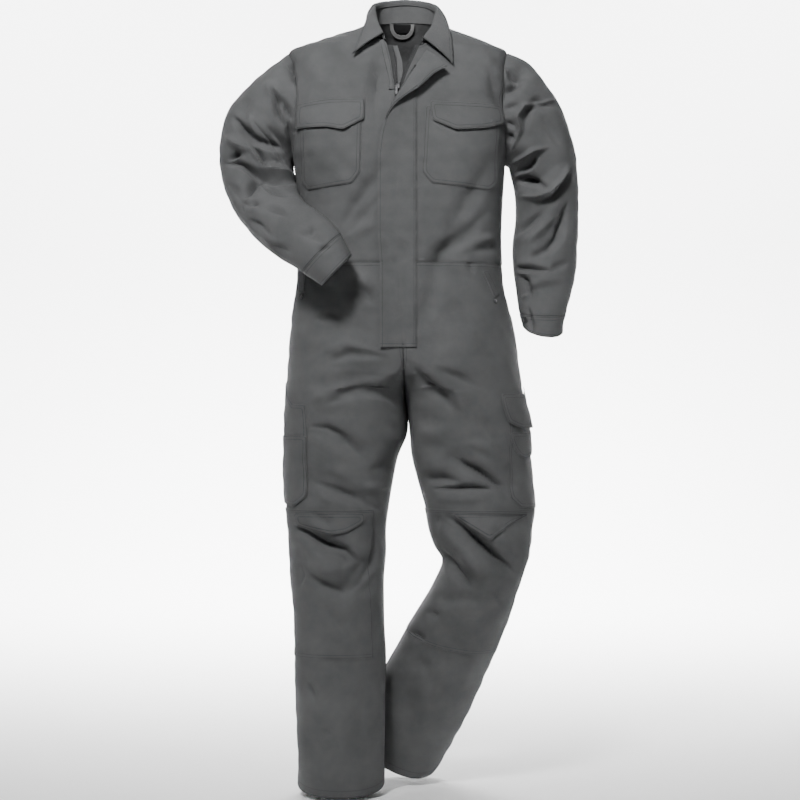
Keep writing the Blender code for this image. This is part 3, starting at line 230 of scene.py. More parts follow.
# Finer creases: lip tells which side of the line the cloth is pushed up on.
CREASES = {
    TORSO_ZONE: creases("""
24 -7.6 0  -45 -42 -45 -182
30 -6.6 0  -194 -62 -184 -139
36 3.8 0  -106 -19 -178 -42
33 -7.6 0.4  170 -77 197 -162
33 3.8 0  136 -39 186 -62
36 -4.8 -0.4  -194 -325 -151 -433
24 -6.6 -0.5  -116 -391 -77 -329 -43 -267
21 -6.6 -0.5  -106 -401 -77 -366 -45 -327
21 4.8 0  -105 -410 -70 -391 -43 -375
36 -7.6 -0.4  91 -414 130 -329 192 -221
30 -11.4 -0.5  37 -579 54 -507 74 -435 130 -389 170 -354
24 7.6 -0.4  116 -432 151 -410 188 -391
24 -7.6 -0.4  136 -430 163 -418 194 -416
36 5.7 0  58 -584 97 -519 136 -472
24 -3.8 0.4  4 -410 0 -453
21 -4.8 -0.4  -31 -468 4 -488 27 -526
"""),
    SLEEVE_RIGHT_ZONE: creases("""
15 -15.4 0.5  -226 -51 -216 -68 -204 -100
14 -15.4 0.5  -261 -100 -247 -127 -239 -159 -228 -178
14 -14 0.4  -239 -123 -228 -139 -208 -170
21 -19.6 -0.5  -324 -163 -302 -186 -283 -202 -236 -225
14 -19.6 -0.4  -287 -166 -259 -202 -232 -253
12 12.6 0  -294 -159 -271 -190 -241 -241
12 -15.4 -0.4  -291 -216 -275 -237 -259 -265
11 9.8 0  -298 -210 -283 -237 -271 -265
11 12.6 -0.3  -271 -265 -243 -272 -206 -282
15 -21 -0.5  -349 -255 -318 -257 -279 -274 -243 -286 -210 -290
11 -14 -0.5  -347 -249 -330 -239 -312 -235
14 -16.8 -0.5  -304 -322 -296 -300 -283 -288 -267 -282
15 -11.2 0.4  -306 -335 -291 -343 -271 -339
15 -14 -0.5  -271 -288 -239 -308 -202 -325
22 8.4 -0.3  -271 -88 -224 -131
28 -8.4 0  -294 -127 -314 -166
22 -14 -0.2  -259 -178 -236 -214 -220 -253
15 -12.6 0  -220 -170 -214 -210 -214 -249
20 -9.8 0.4  -342 -300 -314 -327 -302 -359
22 8.4 -0.3  -330 -308 -271 -357
18 12.6 -0.3  -342 -198 -314 -221 -294 -229
17 -8.8 -0.5  -294 -370 -270 -382 -247 -399
18 -5.5 0.4  -190 -401 -148 -427
17 -6.6 0.5  -258 -351 -213 -367
18 6.6 -0.4  -274 -382 -236 -416
12 -5.5 0  -163 -389 -171 -408
13 -5.5 0.3  -156 -443 -133 -435
18 -5.5 -0.4  -247 -416 -209 -439
"""),
    SLEEVE_LEFT_ZONE: creases("""
16 -14.4 -0.5  212 -65 224 -79 244 -85
14 -13.2 -0.5  206 -111 224 -99 240 -89
11 13.2 0  220 -223 238 -189 232 -162 248 -142 307 -130
19 -10.8 0.4  248 -193 256 -154 271 -136 311 -146
11 -8.4 0  206 -146 236 -136
11 -8.4 -0.4  208 -171 230 -181
11 -9.6 -0.4  210 -197 228 -205
11 10.8 -0.3  218 -244 240 -236 263 -225 291 -223
15 -14.4 -0.5  224 -264 248 -256 267 -238
14 -18 -0.5  220 -280 244 -284 267 -291 287 -303
12 15.6 0  238 -315 267 -319 295 -311 315 -291 330 -262
15 -13.2 -0.5  275 -327 303 -317 322 -295 338 -268
19 -14.4 -0.5  260 -433 287 -423 309 -403 324 -370 332 -335
18 8.4 0  246 -411 277 -386 307 -358
16 -9.6 -0.4  232 -386 256 -366 281 -348
14 -15.6 -0.5  224 -455 256 -455 291 -462
16 -7.2 0.3  291 -468 330 -449
11 -10.8 0  228 -470 246 -480 258 -514
11 6 0  238 -516 256 -510
11 -8.4 0  254 -539 261 -584
25 -6 0.3  283 -166 315 -221
20 7.2 -0.3  244 -496 285 -480 315 -488
"""),
    LEG_ZONE: creases("""
21 -8.5 -0.4  -86 -496 -66 -512 -45 -533
28 6.6 -0.3  -107 -517 -78 -545 -51 -582
22 -6.6 -0.4  -162 -564 -136 -558 -107 -562
22 5.7 -0.4  -88 -476 -41 -498
39 -3.8 0  -195 -545 -185 -681
25 5.7 -0.4  -152 -626 -107 -613 -55 -623
21 -7.6 -0.5  -136 -646 -97 -626 -39 -634
24 8.5 -0.4  -175 -722 -136 -708 -94 -693 -39 -677 -6 -654
21 -9.5 -0.5  -136 -724 -97 -702 -64 -693 -29 -693 -8 -704 8 -728
15 -8.5 -0.5  -169 -771 -136 -776 -115 -790 -94 -810 -74 -827
22 5.7 0  -171 -794 -132 -814 -97 -837
28 -7.6 -0.3  -64 -856 -39 -849 -14 -860
18 -9.5 -0.5  -171 -880 -144 -891 -107 -905 -70 -915 -35 -930
17 6.6 0  -164 -899 -148 -915 -129 -925
20 6.6 -0.4  -78 -895 -47 -888 -23 -891
18 -7.2 -0.4  -172 -944 -140 -958 -125 -952
16 -15.3 -0.5  -205 -966 -179 -979 -150 -999 -127 -1007 -107 -1013 -86 -1036
16 -4.5 -0.5  -195 -1044 -172 -1067 -137 -1083 -103 -1098
16 -8.1 -0.5  -103 -1098 -82 -1075 -59 -1044 -49 -1009 -49 -978
27 -6.3 -0.3  -84 -1104 -62 -1079 -39 -1052
30 9 0  -183 -1044 -144 -1059 -105 -1044
12 -8.1 0  -201 -1044 -193 -1067 -199 -1087
24 -3.6 0.3  -146 -1130 -98 -1188
24 4.5 0  -117 -1149 -86 -1118
20 -8 -0.4  -190 -1271 -165 -1311
18 -6 -0.4  -155 -1364 -128 -1379
39 5 0  -118 -1289 -110 -1426
30 -5 0  -177 -1387 -161 -1466
30 -5 0  -69 -1269 -78 -1387
21 -8.5 -0.5  16 -646 39 -669 58 -697 78 -714 101 -734
24 7.6 -0.3  39 -658 78 -693 101 -712 131 -739
18 -8.5 -0.5  66 -654 107 -673 144 -693
36 -5.7 -0.3  37 -759 62 -755 94 -761
36 -5.7 -0.3  33 -810 58 -810 90 -817
25 7.6 -0.4  136 -806 175 -810 210 -849
15 -14.2 -0.5  101 -835 125 -847 152 -856 175 -868 195 -882 210 -903
18 -10.4 -0.5  47 -874 78 -874 113 -878
14 -13.3 -0.5  66 -893 97 -893 136 -889 183 -891
28 -5.7 0.3  156 -759 195 -817
20 6.6 0  101 -856 136 -872 179 -880
39 -4.8 0  97 -525 136 -603
13 -4.8 0  132 -451 140 -475
20 5.7 0  70 -915 117 -917 175 -911
36 -4.8 -0.4  152 -584 195 -642
15 -15.3 -0.5  98 -952 121 -966 148 -989 178 -1019 199 -1034 222 -1052
18 7.2 0  121 -954 156 -981 195 -1017
15 -13.5 -0.5  74 -1009 90 -1032 105 -1054 142 -1087
24 -8.1 -0.4  64 -1106 101 -1110 137 -1106 174 -1110
22 7.2 0  90 -1056 113 -1079 137 -1098
30 8.1 0  121 -1024 160 -1063
22 -5.4 0.3  176 -1091 205 -1130
14 -6.3 -0.4  55 -1134 70 -1141 84 -1138
12 -5.4 0.3  78 -946 74 -985
16 -5.4 -0.4  176 -983 203 -958
16 -11 -0.5  22 -1177 35 -1183 51 -1199
36 4 0  39 -1250 63 -1348
30 -6 0  10 -1289 29 -1387
30 -4 0  88 -1269 78 -1387
27 4 0  137 -1240 122 -1309
"""),
    BACK + TORSO_ZONE: creases("""
34 4 -0.3  -150 -70 -40 -110
34 4 0.3  150 -75 45 -118
26 -4 0.4  -185 -230 -110 -280
26 -4 -0.4  190 -240 118 -300
30 3 0  -60 -330 60 -345
24 -3 0.4  -120 -400 -40 -425
24 -3 -0.4  130 -395 50 -428
"""),
    BACK + SLEEVE_RIGHT_ZONE: creases("""
24 -5 0.4  -300 -120 -238 -170
22 -5 0.5  -345 -225 -262 -250
22 5 -0.5  -350 -262 -268 -268
20 -4 0.4  -330 -315 -262 -292
18 -3 0  -255 -410 -215 -395
"""),
    BACK + SLEEVE_LEFT_ZONE: creases("""
24 -5 0.4  300 -110 232 -160
22 5 -0.5  345 -240 250 -262
22 -5 0.4  348 -290 255 -280
22 -4 0.4  345 -360 262 -390
20 4 0  340 -470 258 -455
"""),
    BACK + LEG_ZONE: creases("""
30 -4 0.4  -190 -600 -60 -690
30 -4 -0.4  200 -600 70 -690
26 -5 0.5  -200 -700 -90 -735
26 -5 -0.5  215 -700 100 -738
26 -4 0.5  -215 -860 -70 -880
26 -6 0.5  -205 -990 -60 -1010
26 5 -0.5  -200 -1040 -70 -1030
24 -5 0.4  -190 -1090 -80 -1070
26 -4 0.5  250 -880 110 -905
26 -6 0.5  240 -985 110 -1000
26 5 -0.5  235 -1050 105 -1035
24 -5 0.4  215 -1100 100 -1075
26 -3 0.3  -180 -1300 -80 -1330
26 -3 0.3  150 -1290 50 -1300
"""),
}

RIPPLE_COUNT = 14
RIPPLE_WAYS = np.random.default_rng(7).normal(size=(RIPPLE_COUNT, 3))
RIPPLE_WAYS *= np.linspace(0.03, 0.11, RIPPLE_COUNT)[:, None]
RIPPLE_SIZES = np.linspace(0.45, 0.15, RIPPLE_COUNT)

# The two front edges: how far across they lie at each height. Below the slider they run straight down.
RIGHT_EDGE = table("""
z x
-452 -10
-117 -10
-84 -14
-54 -19
-25 -26
-15 -33
40 -50
""")
LEFT_EDGE = table("""
z x
-452 2
-117 2
-84 14
-50 29
-30 38
40 60
""")
NECK_SIDE_Z, NECK_BACK_Z = 36.0, 46.0
NECKLINE = {
    "right": table("""
x z
-62 36
-60 24
-55 10
-45 -4
-33 -15
"""),
    "left": table("""
x z
82 36
82 24
76 8
62 -12
38 -30
"""),
}

# Collar stations from the right front round the back to the left front, as shares of the neck seam's
# length: the line the collar folds over (roll) and the leaf's outer edge.
COLLAR = table("""
round roll_x roll_y roll_z edge_x edge_y edge_z
0 -34 -104 -8 -92 -113 -49
0.051 -42 -80 10 -82 -97 -22
0.127 -49 -50 30 -72 -72 8
0.2 -54 -18 52 -66 -37 29
0.272 -55 14 70 -66 8 38
0.348 -43 47 82 -59 49 42
0.417 -20 64 88 -32 78 47
0.486 10 68 91 10 84 49
0.556 40 64 88 52 78 46
0.624 64 47 80 80 49 39
0.7 77 14 66 93 8 31
0.773 75 -18 48 95 -38 20
0.853 68 -50 22 98 -73 0
0.932 60 -84 4 101 -99 -30
1 46 -106 -18 102 -118 -68
""")

# Pieces that lie on a front, as outlines seen from the front, and how far the piece stands off the panel.
ON_PANEL = 0.3
ON_POCKET = ON_PANEL + TRIM + 0.3
CHEST_POCKET = {
    "right": ((-196, -150), (-74, -150), (-77, -279), (-93, -300), (-179, -311), (-193, -294)),
    "left": ((50, -150), (194, -150), (193, -294), (176, -311), (61, -300), (43, -279)),
}
CHEST_FLAP = {
    "right": ((-200, -143), (-136, -136), (-68, -136), (-70, -177), (-110, -197), (-143, -191), (-198, -191)),
    "left": ((57, -141), (199, -146), (199, -182), (163, -193), (108, -197), (63, -179)),
}
KNEE_COLUMNS = {"right": (0, 6), "left": (1, 8)}  # of the trouser front's, from the side seam
KNEE_FLAP = {
    "right": ((-206, -941), (-71, -941), (-72, -960), (-105, -978), (-135, -983), (-205, -968)),
    "left": ((101, -941), (250, -944), (219, -960), (174, -993), (109, -952)),
}
HIP_WELT = {
    "right": ((-199, -462), (-186, -462), (-187, -508), (-199, -511)),
    "left": ((160, -468), (172, -466), (196, -512), (185, -521)),
}
RIVET = {"right": (-193, -517), "left": (186, -526)}
RIVET_RADIUS, RIVET_HEIGHT = 4.0, 1.6
CUFF_SNAP = {"right": (-0.62, 0.5), "left": (0.795, 0.225)}  # how far round the cuff and down it
CUFF_SNAP_RADIUS = 5.8
# Pockets and flaps round the outer side of a thigh, seen from the front; they go on round the side.
RULER_UPPER = (
    (-270, -684), (-240, -684), (-210, -728), (-182, -729), (-184, -893), (-205, -921), (-270, -919)
)
RULER_POCKET = ((-270, -790), (-181, -790), (-180, -895), (-182, -909), (-203, -927), (-270, -924))
CARGO_POCKET = ((212, -738), (213, -892), (216, -913), (235, -931), (300, -934), (300, -738))
CARGO_FLAP = (
    (197, -708), (197, -720), (202, -742), (209, -763), (223, -771), (236, -776), (300, -775), (300, -706)
)
PHONE_FLAP = (
    (214, -784), (215, -798), (221, -816), (230, -830), (242, -837), (258, -825), (300, -812), (300, -784)
)


def between(values, v):
    """A column's value at the row position v, on a smooth curve through its rows (Catmull-Rom)."""
    last = len(values) - 1
    v = np.clip(v, 0, last)
    i = np.minimum(v.astype(int), last - 1)
    f = v - i
    before, a, b, after = (values[np.clip(i + k, 0, last)] for k in (-1, 0, 1, 2))
    return a + 0.5 * f * (
        (b - before) + f * ((2 * before - 5 * a + 4 * b - after) + f * (3 * (a - b) + after - before))
    )


def unit(vectors):
    return vectors / np.maximum(np.linalg.norm(vectors, axis=-1, keepdims=True), 1e-9)


def fold_height(zone, x, z):
    """How far the folds of a zone move the cloth out at a place seen from the front."""
    height = np.zeros_like(x)
    for k in np.flatnonzero(FOLDS["zone"] == zone):
        ax, az, bx, bz, width, depth = (FOLDS[name][k] for name in "ax az bx bz width depth".split())
        length2 = (bx - ax) ** 2 + (bz - az) ** 2
        along = np.clip(((x - ax) * (bx - ax) + (z - az) * (bz - az)) / length2, 0, 1)
        away = np.hypot(x - ax - along * (bx - ax), z - az - along * (bz - az)) / width
        height += depth * np.clip(1 - away**2, 0, None) ** 2 * (1 - 0.5 * np.abs(2 * along - 1) ** 3)
    return height


def bent(x, z):
    """Places moved a little to and fro, so that no crease runs quite straight."""
    bend_x = 3.0 * np.sin(z / 31.0 + 0.7) + 2.0 * np.sin(x / 23.0 + z / 47.0)
    bend_z = 3.0 * np.sin(x / 37.0 + 1.9) + 2.0 * np.sin(z / 19.0 - x / 53.0)
    return x + bend_x, z + bend_z


SHARP, SOFT = 0.004, 0.015  # how blunt a crease's bottom is, on sleeves and elsewhere
LIP_REACH, CREASE_NARROWING, CREASE_FADE = 2.8, 0.5, 0.85  # the last two are at a crease's ends


def crease_height(zone, x, z):
    """The finer creases of a zone: each has a steep side, and a low lip where the cloth was pushed up."""
    height = np.zeros_like(x)
    x, z = bent(x, z)
    blunt = SHARP if zone % BACK in (SLEEVE_RIGHT_ZONE, SLEEVE_LEFT_ZONE) else SOFT
    for width, depth, lip, path in CREASES[zone]:
        legs = np.diff(path, axis=0)
        lengths = np.hypot(*legs.T)
        away, share, above = np.full(x.shape, 1e9), np.zeros(x.shape), np.zeros(x.shape)
        for k, ((start_x, start_z), (way_x, way_z)) in enumerate(zip(path, legs / lengths[:, None])):
            past = np.clip((x - start_x) * way_x + (z - start_z) * way_z, 0, lengths[k])
            reach = np.hypot(x - start_x - past * way_x, z - start_z - past * way_z)
            nearer = reach < away
            away = np.where(nearer, reach, away)
            share = np.where(nearer, (lengths[:k].sum() + past) / lengths.sum(), share)
            above = np.where(nearer, (z - start_z) * way_x - (x - start_x) * way_z, above)
        end = np.abs(2 * share - 1) ** 2
        width = width * (1 - CREASE_NARROWING * end)
        away = np.sqrt((away / width) ** 2 + blunt)
        shape = np.clip(1 - away, 0, None) ** 2 * (1 + 0.9 * away)
        lifted = 1 + lip * LIP_REACH * np.clip(above / width, -1, 1)
        height += depth * shape * lifted * (1 - CREASE_FADE * end)
    return height


def ripple_height(place):
    """The slight unevenness that worn twill has everywhere."""
    height = np.zeros(place.shape[:-1])
    for (a, b, c), size in zip(RIPPLE_WAYS, RIPPLE_SIZES):
        height += size * np.sin(place[..., 0] * a + place[..., 1] * b + place[..., 2] * c + 9 * a + 5 * b)
    return height


def wrapped(u, v):
    """Places as arrays of one shape, with u brought back between -1 and 1."""
    u, v = np.broadcast_arrays(np.asarray(u, float), np.asarray(v, float))
    return np.where(u > 1, u - 2, np.where(u < -1, u + 2, u)), v


ROUND_POWER = 2.2  # of the curve of a section: 2 is an ellipse, more is squarer
SMALL_V = 0.05  # a short way down a tube, in rows
NORMAL_U, NORMAL_V = 0.03, 0.12  # how far apart the points are that give a normal
INNER_FADE = 0.15  # folds end this near to a centre seam or an inner side
FACING_FADE = 1.6  # how quickly folds grow where the cloth faces to the front or the back


class Tube:
    """A tube of cloth through a table of sections, with its folds."""

    def __init__(self, rows, zone, first_closed=0):
        count = len(rows["out_x"])
        side_y = rows.get("side_y", np.zeros(count))
        plain = {
            "mid": np.full(count, 0.5),
            "power": np.full(count, ROUND_POWER),
            "side_y": side_y,
            "in_front_y": side_y,
            "in_back_y": side_y,
            "lean_front": np.zeros(count),
            "lean_back": np.zeros(count),
        }
        self.rows = {**plain, **rows}
        self.zone = zone
        self.first_closed = first_closed  # above this row the inner ends of front and back lie apart
        self.count = count
        self.fine_v = np.linspace(0, count - 1, 40 * count)
        self.fine_z = self.get("out_z", self.fine_v)

    def get(self, name, v):
        return between(self.rows[name], v)

    def several(self, names, v):
        return [self.get(name, v) for name in names.split()]

    def depths(self, front, v):
        """How deep the middle of the front or the back lies, and its inner end."""
        depth_y = np.where(front, self.get("front_y", v), self.get("back_y", v))
        return depth_y, np.where(front, self.get("in_front_y", v), self.get("in_back_y", v))

    def v_at(self, z):
        """The row position at a height, for tubes whose sections are level."""
        return np.interp(-np.asarray(z, float), -self.fine_z, self.fine_v)

    def split(self, v, front):
        """The |u| at which the outer quarter of a section meets the inner one."""
        out_x, out_z, in_x, in_z, mid = self.several("out_x out_z in_x in_z mid", v)
        depth_y, inner_y = self.depths(front, v)
        width = np.hypot(in_x - out_x, in_z - out_z)
        outer_reach = mid * width + np.abs(depth_y - self.get("side_y", v))
        inner_reach = (1 - mid) * width + np.abs(depth_y - inner_y)
        return outer_reach / (outer_reach + inner_reach)

    def front_u(self, x, v):
        """How far round the front the place at x lies, at level rows v."""
        out_x, in_x, mid, power = self.several("out_x in_x mid power", v)
        t = np.clip((x - out_x) / (in_x - out_x), 0, 1)
        outer = t < mid
        across = np.where(outer, 1 - t / mid, (t - mid) / np.maximum(1 - mid, 1e-9))
        quarter = np.arccos(np.clip(across, 0, 1) ** (power / 2)) / (math.pi / 2)
        split = self.split(v, True)
        return np.where(outer, quarter * split, 1 - quarter * (1 - split))

    def plain_point(self, u, v):
        """The cloth's outer face without folds."""
        u, v = wrapped(u, v)
        front = u >= 0
        out_x, out_z, in_x, in_z = self.several("out_x out_z in_x in_z", v)
        mid, power, side_y = self.several("mid power side_y", v)
        depth_y, inner_y = self.depths(front, v)
        lean = np.where(front, self.get("lean_front", v), self.get("lean_back", v))
        split = self.split(v, front)
        outer = np.abs(u) <= split
        turn = np.where(outer, np.abs(u) / split, (1 - np.abs(u)) / np.maximum(1 - split, 1e-9))
        turn = np.clip(turn, 0, 1) * math.pi / 2
        across = np.clip(np.cos(turn), 0, 1) ** (2 / power)
        bulge = np.clip(np.sin(turn), 0, 1) ** (2 / power)
        t = np.where(outer, mid * (1 - across), mid + (1 - mid) * across)
        start_y = np.where(outer, side_y, inner_y)
        step_x, step_z = (self.middle(axis, v + SMALL_V) - self.middle(axis, v - SMALL_V) for axis in "xz")
        step = np.maximum(np.hypot(step_x, step_z), 1e-9)
        x = out_x + (in_x - out_x) * t + lean * bulge * step_x / step
        z = out_z + (in_z - out_z) * t + lean * bulge * step_z / step
        return np.stack((x, start_y + (depth_y - start_y) * bulge, z), axis=-1)

    def middle(self, axis, v):
        return (self.get("out_" + axis, v) + self.get("in_" + axis, v)) / 2

    def normal(self, u, v):
        """The outward direction, from points a little apart on the plain tube."""
        u, v = np.broadcast_arrays(np.asarray(u, float), np.asarray(v, float))
        open_row = v < self.first_closed - 1e-6
        u_more, u_less = u + NORMAL_U, u - NORMAL_U
        u_more = np.where(open_row & (u >= 0), np.minimum(u_more, 1), u_more)
        u_less = np.where(open_row & (u < 0), np.maximum(u_less, -1), u_less)
        v_more, v_less = np.minimum(v + NORMAL_V, self.count - 1), np.maximum(v - NORMAL_V, 0)
        across = self.plain_point(u_more, v) - self.plain_point(u_less, v)
        along = self.plain_point(u, v_more) - self.plain_point(u, v_less)
        found = unit(np.cross(across, along))
        heart = np.stack((self.middle("x", v), self.get("side_y", v), self.middle("z", v)), axis=-1)
        outward = np.sum(found * (self.plain_point(u, v) - heart), axis=-1, keepdims=True)
        return found * np.where(outward < 0, -1, 1)

    def point(self, u, v):
        """The cloth's outer face, folds included, and its outward direction."""
        place, out = self.plain_point(u, v), self.normal(u, v)
        inner = np.clip((1 - np.abs(u)) / INNER_FADE, 0, 1)
        x, z = place[..., 0], place[..., 2]
        front, back = (np.clip(-FACING_FADE * out[..., 1] * way, 0, 1) * inner for way in (1, -1))
        height = (fold_height(self.zone, x, z) + crease_height(self.zone, x, z)) * front
        height += crease_height(self.zone + BACK, x, z) * back + ripple_height(place) * inner
        return place + out * height[..., None], out


def armhole_u(v, front):
    """How far round from the torso's side the armhole's edge lies at the rows v."""
    height = (TORSO_TUBE.get("out_z", v) - ARMHOLE_MIDDLE) / ARMHOLE_HALF
    reach = (ARMHOLE_FRONT if front else ARMHOLE_BACK) * np.sqrt(np.clip(1 - height**2, 0, 1))
    depth = np.abs(TORSO_TUBE.get("front_y" if front else "back_y", v))
    power = TORSO_TUBE.get("power", v)
    return np.arcsin(np.clip(reach / depth, 0, 1) ** (power / 2)) / math.pi


def armhole_loop(u, side):
    """The armhole's edge: |u| from 0 at the shoulder to 1 under the arm, and the way into the wall there."""
    v = TORSO_TUBE.v_at(ARMHOLE_MIDDLE + ARMHOLE_HALF * np.cos(np.abs(u) * math.pi))
    round_u = np.where(u >= 0, armhole_u(v, True), -armhole_u(v, False))
    if side > 0:
        round_u = np.where(u >= 0, 1 - round_u, -1 - round_u)
    place = TORSO_TUBE.plain_point(round_u, v)
    return place, armhole_inward(place, side)


def armhole_inward(place, side):
    """Into the wall at the armhole, the same for panel and sleeve: towards the hole's middle and the body."""
    below = ARMHOLE_MIDDLE - place[..., 2]
    low = np.clip(below / ARMHOLE_HALF, -1, 1)
    towards = np.stack((np.zeros_like(low), -place[..., 1], below), axis=-1)
    body = np.zeros_like(towards)
    body[..., 0] = -side * (0.5 + 0.5 * low)
    return unit(unit(towards) + body)


class Sleeve(Tube):
    """A sleeve whose first section is the armhole's edge itself."""

    def __init__(self, rows, zone, side):
        depth, side_y = rows["depth"], rows["side_y"]
        super().__init__({**rows, "front_y": side_y - depth, "back_y": side_y + depth}, zone)
        self.side = side

    def plain_point(self, u, v):
        u, v = wrapped(u, v)
        own = super().plain_point(u, v)
        shift = armhole_loop(u, self.side)[0] - super().plain_point(u, np.zeros_like(v))
        fade = np.clip(1 - v / 2, 0, 1) ** 2
        return own + shift * fade[..., None]

    def point(self, u, v):
        place, out = super().point(u, v)
        at_hole = np.asarray(v)[..., None] < 1e-9
        loop, inward = armhole_loop(np.asarray(u, float), self.side)
        return np.where(at_hole, loop, place), np.where(at_hole, -inward, out)


TORSO_TUBE = Tube(TORSO, TORSO_ZONE)


def leg_tube(leg, out_column, side):
    """The trousers on one side: the seat's half, then the leg."""
    seat_rows, leg_rows = len(SEAT["z"]), len(leg["out_x"])
    seat = {
        **SEAT,
        **dict.fromkeys(("out_z", "in_z"), SEAT["z"]),
        **dict.fromkeys(("side_y", "lean_front", "lean_back"), np.zeros(seat_rows)),
        "out_x": SEAT[out_column],
        "in_x": SEAT["centre_x"] + side * SEAM_GAP / 2,
        "cells": np.ones(seat_rows),
    }
    leg = {
        **leg,
        **dict.fromkeys(("in_front_y", "in_back_y"), leg["side_y"]),
        "mid": np.full(leg_rows, 0.5),
        "power": np.full(leg_rows, ROUND_POWER),
    }
    joined = {name: np.concatenate((seat[name], leg[name])) for name in leg}
    return Tube(joined, LEG_ZONE, first_closed=seat_rows - 1)


LEG_TUBES = {"right": leg_tube(RIGHT_LEG, "right_x", -1), "left": leg_tube(LEFT_LEG, "left_x", 1)}
SLEEVE_TUBES = {
    "right": Sleeve(SLEEVE_RIGHT, SLEEVE_RIGHT_ZONE, -1),
    "left": Sleeve(SLEEVE_LEFT, SLEEVE_LEFT_ZONE, 1),
}
SIDES = {"right": -1, "left": 1}


def row_steps(cells):
    """Row positions down a tube, with each row's own number of cells up to the next."""
    counts = [int(count) * FINE for count in cells[1:]]
    steps = [np.linspace(row, row + 1, count, endpoint=False) for row, count in enumerate(counts)]
    return np.concatenate(steps + [[len(cells) - 1.0]])


LEG_ROWS = {side: row_steps(tube.rows["cells"]) for side, tube in LEG_TUBES.items()}
SHOULDER_Z = (NECK_SIDE_Z, 22, 8, -4, -16, ARMHOLE_TOP)
SHOULDER_ROWS = TORSO_TUBE.v_at(np.interp(np.arange(SHOULDER_CELLS) / FINE, np.arange(6), SHOULDER_Z))
ARMHOLE_TURNS = np.linspace(0, math.pi, ARM_CELLS + 1)
ARMHOLE_ROWS = TORSO_TUBE.v_at(ARMHOLE_MIDDLE + ARMHOLE_HALF * np.cos(ARMHOLE_TURNS))
SIDE_ROWS = TORSO_TUBE.v_at(np.linspace(ARMHOLE_BOTTOM, WAIST_Z, SIDE_CELLS + 1)[1:])
TORSO_ROWS = np.concatenate((SHOULDER_ROWS, ARMHOLE_ROWS, SIDE_ROWS))


def drawn_in(grid):
    """A grid of points with its border drawn in by half the seam's gap."""
    grid = grid.copy()
    for edge, inside in ((0, 1), (-1, -2)):
        grid[edge] += unit(grid[inside] - grid[edge]) * SEAM_GAP / 2
        grid[:, edge] += unit(grid[:, inside] - grid[:, edge]) * SEAM_GAP / 2
    return grid


def grid_faces(rows, columns, first=0, closed=False):
    """The quads of a grid of points, as an array of four indices each."""
    index = np.arange(first, first + rows * columns).reshape(rows, columns)
    right = np.roll(index, -1, axis=1)
    last = columns if closed else columns - 1
    corners = (index[:-1, :last], right[:-1, :last], right[1:, :last], index[1:, :last])
    return np.stack([corner.ravel() for corner in corners], axis=-1)


def placed(name, data):
    """A new object in the scene."""
    made = bpy.data.objects.new(name, data)
    bpy.context.scene.collection.objects.link(made)
    return made


def piece(name, points, faces, look, sharp=40, uv=None, nodes=(), slot="twill"):
    """A visible piece from points in millimetres, riding on the garment."""
    mesh = bpy.data.meshes.new(name)
    mesh.from_pydata((np.asarray(points) * MM).tolist(), [], [list(map(int, face)) for face in faces])
    work = bmesh.new()
    work.from_mesh(mesh)
    bmesh.ops.recalc_face_normals(work, faces=work.faces)
    if work.calc_volume(signed=True) < 0:
        bmesh.ops.reverse_faces(work, faces=work.faces)
    work.to_mesh(mesh)
    work.free()
    mesh.shade_smooth()
    mesh.set_sharp_from_angle(angle=math.radians(sharp))
    if uv is not None:
        layer = mesh.uv_layers.new(name="cut")
        corners = np.empty(len(mesh.loops), int)
        mesh.loops.foreach_get("vertex_index", corners)
        layer.data.foreach_set("uv", (np.asarray(uv)[corners] * MM).ravel())
    mesh.materials.append(LOOKS[look])
    made = placed(name, mesh)
    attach(made, "garment")
    if nodes:
        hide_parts(*nodes)


def arc_lengths(grid):
    """How far each point of a grid lies along its row and down its column, in millimetres."""
    across = np.linalg.norm(np.diff(grid, axis=1), axis=2)
    down = np.linalg.norm(np.diff(grid, axis=0), axis=2)
    rows, columns = grid.shape[:2]
    u, v = np.zeros((rows, columns)), np.zeros((rows, columns))
    u[:, 1:] = np.cumsum(np.broadcast_to(across.mean(axis=0), across.shape), axis=1)
    v[1:] = np.cumsum(np.broadcast_to(down.mean(axis=1)[:, None], down.shape), axis=0)
    return np.stack((u, v), axis=-1)


def cloth(name, outer, inner, closed=False, look="twill", **how):
    """A thin closed shell between two grids of points; closed joins the last column to the first."""
    rows, columns = outer.shape[:2]
    count = rows * columns
    faces = list(grid_faces(rows, columns, closed=closed))
    faces += [face[::-1] for face in grid_faces(rows, columns, first=count, closed=closed)]
    index = np.arange(count).reshape(rows, columns)
    if closed:
        rims = [list(index[0]) + [index[0, 0]], list(index[-1]) + [index[-1, 0]]]
    else:
        rims = [list(index[0]) + list(index[1:, -1]) + list(index[-1, -2::-1]) + list(index[-2::-1, 0])]
    for rim in rims:
        faces += [(a, a + count, b + count, b) for a, b in zip(rim, rim[1:])]
    uv = arc_lengths(outer).reshape(-1, 2)
    points = np.concatenate((outer.reshape(-1, 3), inner.reshape(-1, 3)))
    piece(name, points, faces, look, uv=np.concatenate((uv, uv)), **how)


STITCH_PITCH, STITCH_LENGTH, STITCH_WIDTH, STITCH_HEIGHT = 3.6, 2.6, 0.9, 0.5
STITCH_SINK = 0.2  # how deep stitches and the lines of painted seam shade reach into the cloth
DOUBLE = (2.0, 7.5)  # two rows of stitches, this far from the edge
# Width and height of the lines of painted seam shade: a near-black ridge along each row of stitches, in place
# of the shadow where the cloth dips.
SEAM_SHADE_WIDTH, SEAM_SHADE_HEIGHT = 1.3, 0.15
SEAM_DIP = 1.1  # how far the cloth sinks at a seam
SEWN = {}


def sew(group, place, out):
    """Marks a line of stitches along places on the cloth, given the outward direction there."""
    SEWN.setdefault(group, []).append(resampled(np.concatenate((place, out), axis=1), STITCH_PITCH))


